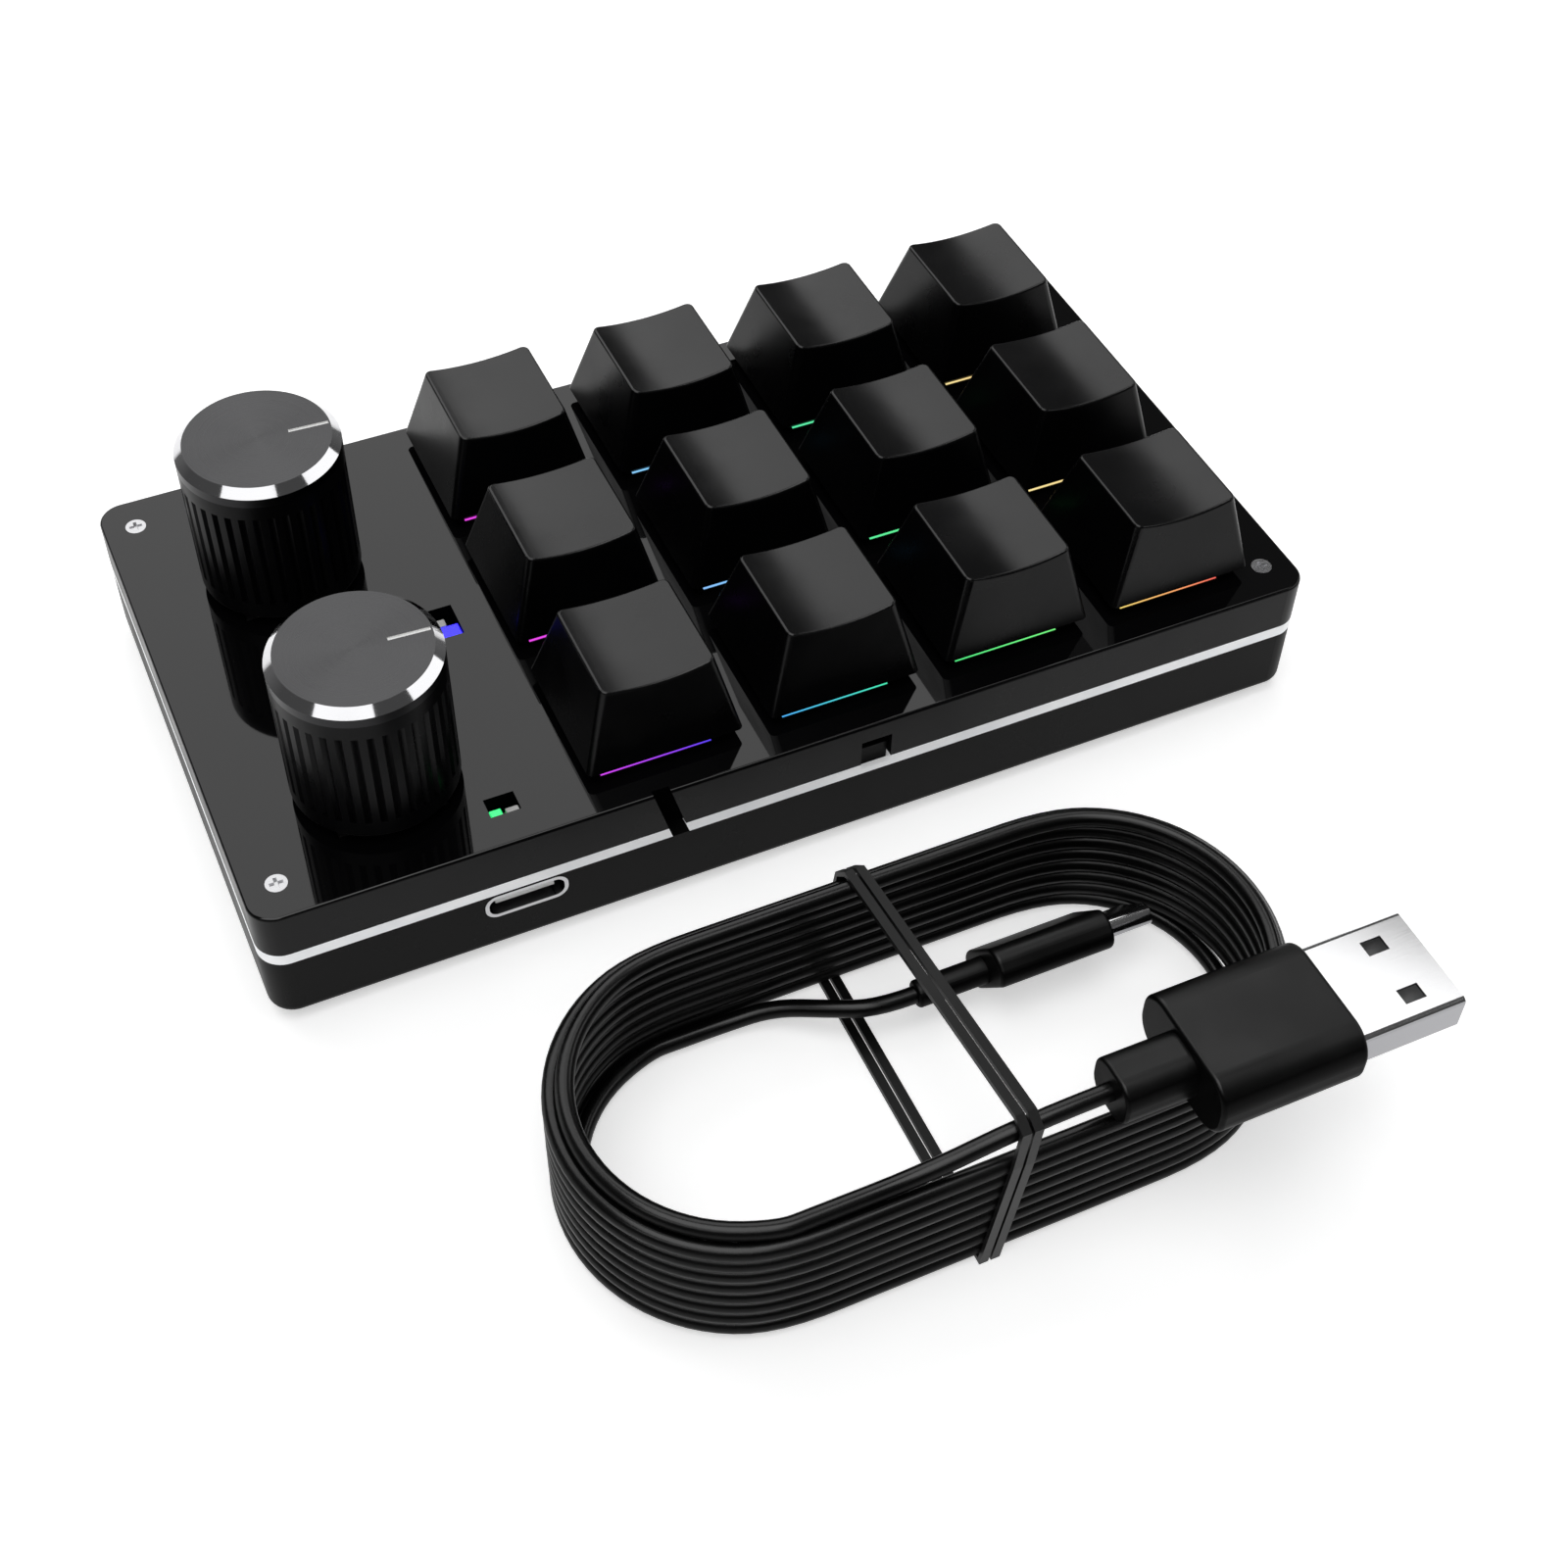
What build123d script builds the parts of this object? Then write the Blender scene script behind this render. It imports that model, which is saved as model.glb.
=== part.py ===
"""Macro keypad: twelve keys, two push-and-turn knobs, and its bundled USB lead.

Millimetres. X runs along the long side to the right, Y to the back, Z up.
The origin is the centre of the keypad's footprint, on the surface that its feet stand on.
"""
from build123d import *
from math import cos, pi, radians, sin, sqrt, tan
import os

os.makedirs("parts", exist_ok=True)

# ---------------------------------------------------------------- case, driving sizes
case_length = 126.6
case_depth = 68.4
case_corner_radius = 3.0
case_wall = 2.0
foot_stand = 1.2
bottom_case_height = 8.75
light_guide_height = 1.5
top_cover_height = 6.0
deck_thickness = 1.5
floor_thickness = 2.0
bottom_edge_radius = 1.2
deck_edge_radius = 0.35
inner_corner_radius = 1.2
light_guide_width = 3.0

bottom_case_z = foot_stand
light_guide_z = bottom_case_z + bottom_case_height
top_cover_z = light_guide_z + light_guide_height
deck_z = top_cover_z + top_cover_height
floor_z = bottom_case_z + floor_thickness
front_y = -case_depth / 2
left_x = -case_length / 2

# ---------------------------------------------------------------- keys
key_columns = 4
key_rows = 3
key_pitch_x = 0.169 * case_length
key_pitch_y = 0.3224 * case_depth
key_right_margin = 0.1216 * case_length
key_front_margin = 0.1915 * case_depth
key_travel = 1.3
skirt_gap = 1.45
keycap_base = 18.1
keycap_base_corner = 0.7
keycap_top_width = 12.9
keycap_top_depth = 13.6
keycap_top_corner = 0.9
keycap_top_shift = 0.7
keycap_height = 10.4
keycap_dish_sag = 0.8
keycap_edge_radius = 0.3
keycap_skirt_wall = 0.9
keycap_upper_wall = 1.2
keycap_roof = 1.0

# ---------------------------------------------------------------- key switches
switch_body = 13.9
switch_fit = 0.05
switch_depth = 5.0
switch_flange = 15.6
switch_flange_height = 0.9
switch_top_base = 14.6
switch_top_width = 11.0
switch_top_depth = 9.6
switch_top_height = 6.6
switch_skin = 0.9
switch_post_diameter = 4.0
switch_post_length = 3.3
stem_width = 7.0
stem_depth = 5.4
stem_slot_gap = 0.1
stem_body_height = 5.5
stem_collar_width = 8.6
cross_span = 4.0
cross_arm = 1.2
cross_fit = 0.02
socket_post_diameter = 5.5
spring_diameter = 4.4
spring_wall = 0.4
guide_rod_diameter = 3.0

# ---------------------------------------------------------------- knobs and encoders
knob_count = 2
knob_left_margin = 0.139 * case_length
knob_front_margin = 0.2076 * case_depth
knob_pitch = 0.5139 * case_depth
knob_diameter = 18.3
knob_gap = 1.3
knob_top_height = 18.7
knob_disc_side = 1.1
knob_disc_bevel = 0.95
knob_disc_spigot = 14.0
knob_disc_spigot_height = 1.0
knob_band_height = 1.8
knob_flute_length = 12.7
flute_count = 36
flute_width = 0.8
flute_depth = 0.4
skirt_edge_radius = 0.3
skirt_hollow_diameter = 14.4
skirt_hollow_depth = 5.0
pointer_start = 3.5
pointer_length = 4.5
pointer_width = 0.45
pointer_depth = 0.15
pointer_angle = -3.0
encoder_body = 12.0
encoder_fit = 0.3
encoder_height = 4.6
encoder_floor = 0.55
encoder_ceiling = 0.85
encoder_chamber_diameter = 9.4
bushing_diameter = 7.0
bushing_height = 3.0
shaft_diameter = 6.0
shaft_running_fit = 0.05
shaft_flat_depth = 1.5
shaft_head_gap = 1.0
shaft_flange_diameter = 8.8
shaft_flange_height = 1.0
plunger_height = 1.0
dome_sheet = 0.2

# ---------------------------------------------------------------- boards
board_thickness = 1.6
board_clearance = 0.4
key_led_width = 3.2
key_led_depth = 2.8
key_led_height = 1.5
key_led_offset = 5.1
indicator_width = 3.5
indicator_depth = 2.8
indicator_height = 1.9
indicator_lens_diameter = 2.2
indicator_lens_depth = 0.3
chip_width = 7.0
chip_corner_radius = 0.25
chip_height = 1.0
board_post_diameter = 4.0
usb_post_diameter = 2.8
usb_post_inset = 1.5
usb_board_width = 16.0
usb_board_depth = 13.0
usb_board_thickness = 1.0
header_length = 10.2
header_width = 2.5

# ---------------------------------------------------------------- USB port
port_left_margin = 28.8
port_height_above_bottom = 6.75
port_width = 9.5
port_height = 3.4
port_wall = 0.45
port_corner_radius = 1.5
port_depth = 7.3
port_window_gap = 0.1
tongue_width = 6.7
tongue_thickness = 0.7
tongue_setback = 0.8
port_back_thickness = 1.0

# ---------------------------------------------------------------- deck windows, slot, latch, screws
front_window_left = 0.2263 * case_length
front_window_front = 5.5
front_window_depth = 2.65
back_window_left = 0.2512 * case_length
back_window_front = 0.4963 * case_depth
back_window_depth = 4.9
window_width = 3.4
slot_left_margin = 44.8
slot_width = 2.0
slot_lean_angle = 15.0
slot_depth = 0.8
latch_left_margin = 70.4
latch_width = 3.7
latch_rise = 1.65
latch_opening = 1.9
latch_setback = 0.85
latch_fit = 0.15
screw_side_margin = 3.8
screw_end_margin = 4.7
screw_head_diameter = 2.4
screw_shank_diameter = 1.4
screw_head_angle = 82.0
screw_length = 12.0
screw_clearance = 0.05
screw_hole_spare = 0.5
cross_recess_length = 1.5
cross_recess_width = 0.4
cross_recess_depth = 0.35
boss_diameter = 5.2
boss_clearance = 0.4

# ---------------------------------------------------------------- feet
foot_diameter = 8.0
foot_seat_depth = 0.6
foot_side_margin = 10.0
foot_end_margin = 10.0
foot_edge = 0.4

# ---------------------------------------------------------------- USB lead
cord_diameter = 1.95
arc_share = 0.45
hank_x = -5.05
hank_y = -70.1
hank_layers = 8
hank_top_turn_inset = 1.36
hank_straight = 40.6
hank_outer_radius = 19.2
hank_edge_radius = 0.6
tie_strip_width = 1.0
tie_strip_gap = 0.3
tie_thickness = 0.5
tie_top_offset = 1.2
tie_bottom_offset = -1.75
tie_cord_clearance = 0.1
usb_a_line = -17.87
usb_a_start = 10.2
usb_a_rest_gap = 0.4
usb_a_cord_run = 8.65
usb_a_cord_lift_run = 10.0
usb_a_relief_length = 7.8
usb_a_relief_width = 6.4
usb_a_relief_height = 5.8
usb_a_relief_corner = 2.4
usb_a_relief_edge = 0.4
usb_a_body_length = 16.3
usb_a_body_width = 14.9
usb_a_body_height = 7.6
usb_a_body_corner = 3.2
usb_a_body_edge = 0.5
usb_a_shell_length = 11.9
usb_a_shell_width = 12.0
usb_a_shell_height = 4.5
usb_a_shell_wall = 0.35
usb_a_shell_corner = 0.6
usb_a_hole_length = 2.4
usb_a_hole_width = 1.8
usb_a_hole_pitch = 6.3
usb_a_hole_setback = 4.5
usb_a_insert_thickness = 1.9
usb_a_insert_setback = 0.4
plug_line = 9.6
plug_start = 4.3
plug_lean_angle = 52.0
plug_cord_run = 5.0
plug_cord_flat_run = 5.8
plug_cord_climb_run = 7.0
plug_cord_climb = 3.7
plug_relief_length = 8.2
plug_relief_diameter = 3.1
plug_relief_edge = 0.4
plug_body_length = 13.8
plug_body_width = 9.8
plug_body_thickness = 4.4
plug_body_corner = 1.8
plug_body_edge = 0.5
plug_shell_width = 8.25
plug_shell_thickness = 2.4
plug_shell_length = 5.0
plug_shell_wall = 0.3
plug_shell_corner = 1.1


# ---------------------------------------------------------------- places worked out from the sizes
column_x = [
    case_length / 2 - key_right_margin - key_pitch_x * (key_columns - 1 - column)
    for column in range(key_columns)
]
row_y = [front_y + key_front_margin + key_pitch_y * row for row in range(key_rows)]
key_spots = [(x, y) for y in row_y for x in column_x]
knob_x = left_x + knob_left_margin
knob_spots = [(knob_x, front_y + knob_front_margin + knob_pitch * n) for n in range(knob_count)]
screw_x = case_length / 2 - screw_side_margin
screw_y = case_depth / 2 - screw_end_margin
screw_spots = [(x, y) for x in (-screw_x, screw_x) for y in (-screw_y, screw_y)]
foot_x = case_length / 2 - foot_side_margin
foot_y = case_depth / 2 - foot_end_margin
foot_spots = [(x, y) for x in (-foot_x, foot_x) for y in (-foot_y, foot_y)]
port_x = left_x + port_left_margin
port_z = bottom_case_z + port_height_above_bottom
board_top_z = deck_z - switch_depth
board_z = board_top_z - board_thickness
front_window = (left_x + front_window_left, front_y + front_window_front)
back_window = (left_x + back_window_left, front_y + back_window_front)


def on_level(z):
    """A horizontal plane at height z."""
    return Plane.XY.offset(z)


def save(shape, name):
    """Label a finished piece and write its STEP file."""
    shape.label = name
    export_step(shape, f"parts/{name}.step")


def copies(shape, spots):
    """One part made of separate copies of a shape, one at each spot."""
    with BuildPart() as group:
        with Locations(*spots):
            add(shape)
    return group.part


def slot_middle(z):
    """Where the middle of the leaning slot stands at height z."""
    return left_x + slot_left_margin + (deck_z - z) * tan(radians(slot_lean_angle))


def leaning_slot(low_z, high_z, depth):
    """Cutter of the leaning slot in the front side, between two heights."""
    with BuildPart() as cutter:
        with BuildSketch(Plane.XZ.offset(-front_y)):
            with BuildLine():
                Polyline(
                    (slot_middle(low_z) - slot_width / 2, low_z),
                    (slot_middle(low_z) + slot_width / 2, low_z),
                    (slot_middle(high_z) + slot_width / 2, high_z),
                    (slot_middle(high_z) - slot_width / 2, high_z),
                    close=True,
                )
            make_face()
        extrude(amount=-depth)
    return cutter.part


# ---------------------------------------------------------------- bottom case
latch_x = left_x + latch_left_margin
latch_top_z = top_cover_z + latch_rise
usb_board_top_z = port_z - port_height / 2
usb_board_z = usb_board_top_z - usb_board_thickness
usb_board_y = front_y + case_wall + board_clearance + usb_board_depth / 2
usb_post_spots = [
    (port_x + side * (usb_board_width / 2 - usb_post_inset),
     usb_board_y + end * (usb_board_depth / 2 - usb_post_inset))
    for side in (-1, 1) for end in (-1, 1)
]
between_columns = [(column_x[n] + column_x[n + 1]) / 2 for n in range(key_columns - 1)]
between_rows = [(row_y[n] + row_y[n + 1]) / 2 for n in range(key_rows - 1)]
board_post_spots = [(x, y) for x in (between_columns[0], between_columns[-1]) for y in between_rows]

with BuildPart() as bottom_case:
    with BuildSketch(on_level(bottom_case_z)):
        RectangleRounded(case_length, case_depth, case_corner_radius)
    extrude(amount=bottom_case_height)
    fillet(bottom_case.faces().sort_by(Axis.Z)[0].edges(), bottom_edge_radius)
    with BuildSketch(on_level(floor_z)):
        RectangleRounded(
            case_length - 2 * case_wall, case_depth - 2 * case_wall, inner_corner_radius)
    extrude(amount=bottom_case_height, mode=Mode.SUBTRACT)
    # screw bosses in the corners and posts under the two boards
    with BuildSketch(on_level(floor_z)):
        with Locations(*screw_spots):
            Circle(boss_diameter / 2)
    extrude(amount=light_guide_z - floor_z)
    with BuildSketch(on_level(floor_z)):
        with Locations(*board_post_spots):
            Circle(board_post_diameter / 2)
    extrude(amount=board_z - floor_z)
    with BuildSketch(on_level(floor_z)):
        with Locations(*usb_post_spots):
            Circle(usb_post_diameter / 2)
    extrude(amount=usb_board_z - floor_z)
    with BuildSketch(on_level(light_guide_z)):
        with Locations(*screw_spots):
            Circle(screw_shank_diameter / 2)
    extrude(amount=-(screw_length - (deck_z - light_guide_z) + screw_hole_spare), mode=Mode.SUBTRACT)
    # window of the USB port
    with BuildSketch(Plane.XZ.offset(-front_y)):
        with Locations((port_x, port_z)):
            RectangleRounded(
                port_width + 2 * port_window_gap,
                port_height + 2 * port_window_gap,
                port_corner_radius + port_window_gap,
            )
    extrude(amount=-case_wall, mode=Mode.SUBTRACT)
    # seats of the rubber feet
    with BuildSketch(on_level(bottom_case_z)):
        with Locations(*foot_spots):
            Circle(foot_diameter / 2)
    extrude(amount=foot_seat_depth, mode=Mode.SUBTRACT)
    # latch tongue that stands on the front wall and shows in the top cover's side window
    with BuildSketch(on_level(light_guide_z)):
        with Locations((latch_x, front_y + (latch_setback + case_wall) / 2)):
            Rectangle(latch_width - 2 * latch_fit, case_wall - latch_setback)
    extrude(amount=latch_top_z - light_guide_z)
save(bottom_case.part, "bottom_case")


# ---------------------------------------------------------------- light guide
guide_opening_length = case_length - 2 * light_guide_width
guide_opening_depth = case_depth - 2 * light_guide_width
guide_middle_z = light_guide_z + light_guide_height / 2

with BuildPart() as light_guide:
    with BuildSketch(on_level(light_guide_z)):
        RectangleRounded(case_length, case_depth, case_corner_radius)
        RectangleRounded(
            guide_opening_length, guide_opening_depth, inner_corner_radius, mode=Mode.SUBTRACT)
        with Locations(*screw_spots):
            Circle(boss_diameter / 2)
        with Locations(*screw_spots):
            Circle(screw_shank_diameter / 2 + screw_clearance, mode=Mode.SUBTRACT)
    extrude(amount=light_guide_height)
    # pocket for the latch tongue, and the notch over it in the outer edge
    with BuildSketch(on_level(light_guide_z)):
        with Locations((latch_x, front_y + (latch_setback - latch_fit + light_guide_width) / 2)):
            Rectangle(latch_width, light_guide_width - latch_setback + latch_fit)
    extrude(amount=light_guide_height, mode=Mode.SUBTRACT)
    with BuildSketch(on_level(guide_middle_z)):
        with Locations((latch_x, front_y + light_guide_width / 2)):
            Rectangle(latch_width, light_guide_width)
    extrude(amount=light_guide_height / 2, mode=Mode.SUBTRACT)
    add(leaning_slot(light_guide_z, top_cover_z, light_guide_width), mode=Mode.SUBTRACT)
save(light_guide.part, "light_guide")


# ---------------------------------------------------------------- top cover
deck_underside_z = deck_z - deck_thickness

with BuildPart() as top_cover:
    with BuildSketch(on_level(top_cover_z)):
        RectangleRounded(case_length, case_depth, case_corner_radius)
    extrude(amount=top_cover_height)
    fillet(top_cover.faces().sort_by(Axis.Z)[-1].edges(), deck_edge_radius)
    with BuildSketch(on_level(top_cover_z)):
        RectangleRounded(
            case_length - 2 * case_wall, case_depth - 2 * case_wall, inner_corner_radius)
    extrude(amount=deck_underside_z - top_cover_z, mode=Mode.SUBTRACT)
    with BuildSketch(on_level(top_cover_z)):
        with Locations(*screw_spots):
            Circle(boss_diameter / 2)
    extrude(amount=deck_underside_z - top_cover_z)
    # cut-outs of the switches, the encoders and the two LED windows
    with BuildSketch(on_level(deck_z)):
        with Locations(*key_spots):
            Rectangle(switch_body + 2 * switch_fit, switch_body + 2 * switch_fit)
        with Locations(*knob_spots):
            Rectangle(encoder_body + 2 * encoder_fit, encoder_body + 2 * encoder_fit)
        with Locations(front_window):
            Rectangle(window_width, front_window_depth)
        with Locations(back_window):
            Rectangle(window_width, back_window_depth)
    extrude(amount=-deck_thickness, mode=Mode.SUBTRACT)
    # corner screws: clearance bore and countersink
    with Locations(*[(x, y, deck_z) for x, y in screw_spots]):
        CounterSinkHole(
            radius=screw_shank_diameter / 2 + screw_clearance,
            counter_sink_radius=screw_head_diameter / 2 + screw_clearance,
            depth=top_cover_height,
            counter_sink_angle=screw_head_angle,
        )
    add(leaning_slot(top_cover_z, deck_z, slot_depth), mode=Mode.SUBTRACT)
    # side window over the latch tongue
    with BuildSketch(on_level(top_cover_z)):
        with Locations((latch_x, front_y + case_wall / 2)):
            Rectangle(latch_width, case_wall)
    extrude(amount=latch_rise + latch_opening, mode=Mode.SUBTRACT)
save(top_cover.part, "top_cover")


# ---------------------------------------------------------------- corner screws and feet
screw_head_height = (screw_head_diameter - screw_shank_diameter) / 2 / tan(radians(screw_head_angle / 2))

with BuildPart() as corner_screw:
    with BuildSketch(on_level(deck_z - screw_length)):
        Circle(screw_shank_diameter / 2)
    extrude(amount=screw_length)
    with BuildSketch(on_level(deck_z)):
        Circle(screw_head_diameter / 2)
    with BuildSketch(on_level(deck_z - screw_head_height)):
        Circle(screw_shank_diameter / 2)
    loft()
    # cross recess in the head
    with BuildSketch(on_level(deck_z)):
        Rectangle(cross_recess_length, cross_recess_width)
        Rectangle(cross_recess_width, cross_recess_length)
    extrude(amount=-cross_recess_depth, mode=Mode.SUBTRACT)
save(copies(corner_screw.part, screw_spots), "corner_screws")

with BuildPart() as rubber_foot:
    with BuildSketch():
        Circle(foot_diameter / 2)
    extrude(amount=foot_stand + foot_seat_depth)
    chamfer(rubber_foot.faces().sort_by(Axis.Z)[0].edges(), foot_edge)
save(copies(rubber_foot.part, foot_spots), "rubber_feet")


# ---------------------------------------------------------------- main board
board_length = guide_opening_length - 2 * board_clearance
board_depth = guide_opening_depth - 2 * board_clearance
led_spots = [(x, y - key_led_offset) for x, y in key_spots]
indicator_spots = [front_window, back_window]
chip_spot = ((knob_x + column_x[0]) / 2, between_rows[-1])

with BuildPart() as circuit_board:
    with BuildSketch(on_level(board_z)):
        Rectangle(board_length, board_depth)
        with Locations(*screw_spots):
            Circle(boss_diameter / 2 + boss_clearance, mode=Mode.SUBTRACT)
        with Locations(*key_spots):
            Circle(switch_post_diameter / 2 + switch_fit, mode=Mode.SUBTRACT)
        with Locations(*led_spots):
            Rectangle(key_led_width, key_led_depth, mode=Mode.SUBTRACT)
    extrude(amount=board_thickness)
save(circuit_board.part, "circuit_board")

with BuildPart() as key_led:
    with BuildSketch(on_level(board_z - key_led_height)):
        Rectangle(key_led_width, key_led_depth)
    extrude(amount=key_led_height)
save(copies(key_led.part, led_spots), "key_leds")

with BuildPart() as indicator_led:
    with BuildSketch(on_level(board_top_z)):
        Rectangle(indicator_width, indicator_depth)
    extrude(amount=indicator_height)
    with BuildSketch(on_level(board_top_z + indicator_height)):
        Circle(indicator_lens_diameter / 2)
    extrude(amount=-indicator_lens_depth, mode=Mode.SUBTRACT)
save(copies(indicator_led.part, indicator_spots), "indicator_leds")

with BuildPart() as controller_chip:
    with BuildSketch(on_level(board_z - chip_height)):
        with Locations(chip_spot):
            RectangleRounded(chip_width, chip_width, chip_corner_radius)
    extrude(amount=chip_height)
save(controller_chip.part, "controller_chip")


# ---------------------------------------------------------------- USB board, socket and header
header_y = usb_board_y + usb_board_depth / 2 - header_width

with BuildPart() as usb_board:
    with BuildSketch(on_level(usb_board_z)):
        with Locations((port_x, usb_board_y)):
            Rectangle(usb_board_width, usb_board_depth)
    extrude(amount=usb_board_thickness)
save(usb_board.part, "usb_board")

with BuildPart() as board_header:
    with BuildSketch(on_level(usb_board_top_z)):
        with Locations((port_x, header_y)):
            Rectangle(header_length, header_width)
    extrude(amount=board_z - usb_board_top_z)
save(board_header.part, "board_header")

with BuildPart() as usb_socket_shell:
    with BuildSketch(Plane.XZ.offset(-front_y)):
        with Locations((port_x, port_z)):
            RectangleRounded(port_width, port_height, port_corner_radius)
    extrude(amount=-port_depth)
    with BuildSketch(Plane.XZ.offset(-front_y)):
        with Locations((port_x, port_z)):
            RectangleRounded(
                port_width - 2 * port_wall,
                port_height - 2 * port_wall,
                port_corner_radius - port_wall,
            )
    extrude(amount=-(port_depth - port_back_thickness), mode=Mode.SUBTRACT)
save(usb_socket_shell.part, "usb_socket_shell")

with BuildPart() as usb_socket_tongue:
    with BuildSketch(Plane.XZ.offset(-front_y - tongue_setback)):
        with Locations((port_x, port_z)):
            Rectangle(tongue_width, tongue_thickness)
    extrude(amount=-(port_depth - port_back_thickness - tongue_setback))
save(usb_socket_tongue.part, "usb_socket_tongue")


# ---------------------------------------------------------------- key switches
flange_top_z = deck_z + switch_flange_height
switch_top_z = deck_z + switch_top_height
switch_floor_z = board_top_z + switch_skin
keycap_z = deck_z + skirt_gap
keycap_top_z = keycap_z + keycap_height
keycap_roof_z = keycap_top_z - keycap_dish_sag - keycap_roof
socket_bottom_z = switch_top_z + key_travel + stem_slot_gap
stem_bottom_z = socket_bottom_z - stem_body_height
collar_top_z = switch_top_z - switch_skin - stem_slot_gap
guide_rod_z = switch_floor_z + key_travel + stem_slot_gap

with BuildPart() as switch_base:
    with BuildSketch(on_level(board_top_z)):
        Rectangle(switch_body, switch_body)
    extrude(amount=switch_depth)
    with BuildSketch(on_level(deck_z)):
        Rectangle(switch_flange, switch_flange)
    extrude(amount=switch_flange_height)
    with BuildSketch(on_level(switch_floor_z)):
        Rectangle(switch_body - 2 * switch_skin, switch_body - 2 * switch_skin)
    extrude(amount=flange_top_z - switch_floor_z, mode=Mode.SUBTRACT)
    with BuildSketch(on_level(board_top_z)):
        Circle(switch_post_diameter / 2)
    extrude(amount=-switch_post_length)
save(copies(switch_base.part, key_spots), "switch_bases")

with BuildPart() as switch_top:
    with BuildSketch(on_level(flange_top_z)):
        Rectangle(switch_top_base, switch_top_base)
    with BuildSketch(on_level(switch_top_z)):
        Rectangle(switch_top_width, switch_top_depth)
    loft()
    with BuildSketch(on_level(flange_top_z)):
        Rectangle(switch_top_base - 2 * switch_skin, switch_top_base - 2 * switch_skin)
    with BuildSketch(on_level(switch_top_z - switch_skin)):
        Rectangle(switch_top_width - 2 * switch_skin, switch_top_depth - 2 * switch_skin)
    loft(mode=Mode.SUBTRACT)
    with BuildSketch(on_level(switch_top_z)):
        Rectangle(stem_width + 2 * stem_slot_gap, stem_depth + 2 * stem_slot_gap)
    extrude(amount=-2 * switch_skin, mode=Mode.SUBTRACT)
save(copies(switch_top.part, key_spots), "switch_tops")

with BuildPart() as switch_stem:
    with BuildSketch(on_level(stem_bottom_z)):
        Rectangle(stem_width, stem_depth)
    extrude(amount=stem_body_height)
    # collar that stops the stem under the housing's roof
    with BuildSketch(on_level(stem_bottom_z)):
        Rectangle(stem_collar_width, stem_depth)
    extrude(amount=collar_top_z - stem_bottom_z)
    with BuildSketch(on_level(socket_bottom_z)):
        Rectangle(cross_span, cross_arm)
        Rectangle(cross_arm, cross_span)
    extrude(amount=keycap_roof_z - stem_slot_gap - socket_bottom_z)
    # rod that guides the spring
    with BuildSketch(on_level(stem_bottom_z)):
        Circle(guide_rod_diameter / 2)
    extrude(amount=guide_rod_z - stem_bottom_z)

with BuildPart() as switch_spring:
    with BuildSketch(on_level(switch_floor_z)):
        Circle(spring_diameter / 2)
        Circle(spring_diameter / 2 - spring_wall, mode=Mode.SUBTRACT)
    extrude(amount=stem_bottom_z - switch_floor_z)
save(copies(switch_spring.part, key_spots), "switch_springs")


# ---------------------------------------------------------------- keycaps
dish_radius = (keycap_top_width / 2) ** 2 / (2 * keycap_dish_sag) + keycap_dish_sag / 2
roof_share = (keycap_roof_z - keycap_z) / keycap_height
roof_width = keycap_base + (keycap_top_width - keycap_base) * roof_share - 2 * keycap_upper_wall
roof_depth = keycap_base + (keycap_top_depth - keycap_base) * roof_share - 2 * keycap_upper_wall

with BuildPart() as keycap:
    with BuildSketch(on_level(keycap_z)):
        RectangleRounded(keycap_base, keycap_base, keycap_base_corner)
    with BuildSketch(on_level(keycap_top_z)):
        with Locations((0, -keycap_top_shift)):
            RectangleRounded(keycap_top_width, keycap_top_depth, keycap_top_corner)
    loft()
    # dish that runs from the front of the top to its back
    with BuildSketch(Plane.XZ.offset(keycap_base)):
        with Locations((0, keycap_top_z - keycap_dish_sag + dish_radius)):
            Circle(dish_radius)
    extrude(amount=-2 * keycap_base, mode=Mode.SUBTRACT)
    fillet(keycap.faces().sort_by(Axis.Z)[-1].outer_wire().edges(), keycap_edge_radius)
    # hollow under the roof, and the socket post in it
    with BuildSketch(on_level(keycap_z)):
        Rectangle(keycap_base - 2 * keycap_skirt_wall, keycap_base - 2 * keycap_skirt_wall)
    with BuildSketch(on_level(keycap_roof_z)):
        with Locations((0, -keycap_top_shift * roof_share)):
            Rectangle(roof_width, roof_depth)
    loft(mode=Mode.SUBTRACT)
    with BuildSketch(on_level(socket_bottom_z)):
        Circle(socket_post_diameter / 2)
        Rectangle(cross_span + 2 * cross_fit, cross_arm + 2 * cross_fit, mode=Mode.SUBTRACT)
        Rectangle(cross_arm + 2 * cross_fit, cross_span + 2 * cross_fit, mode=Mode.SUBTRACT)
    extrude(amount=keycap_roof_z - socket_bottom_z)

for row, y in enumerate(row_y):
    for column, x in enumerate(column_x):
        place = f"row{row + 1}_col{column + 1}"
        save(copies(keycap.part, [(x, y)]), f"keycap_{place}")
        save(copies(switch_stem.part, [(x, y)]), f"switch_stem_{place}")


# ---------------------------------------------------------------- encoders
encoder_top_z = board_top_z + encoder_height
bushing_top_z = encoder_top_z + bushing_height
chamber_floor_z = board_top_z + encoder_floor
chamber_ceiling_z = encoder_top_z - encoder_ceiling
shaft_flange_z = chamber_ceiling_z - shaft_running_fit - shaft_flange_height
plunger_z = shaft_flange_z - shaft_running_fit - plunger_height
knob_z = deck_z + knob_gap
knob_top_z = knob_z + knob_top_height
knob_disc_z = knob_top_z - knob_disc_bevel - knob_disc_side
skirt_hollow_top_z = knob_z + skirt_hollow_depth
shaft_top_z = knob_disc_z - knob_disc_spigot_height - shaft_head_gap
shaft_flat_offset = shaft_diameter / 2 - shaft_flat_depth

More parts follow.
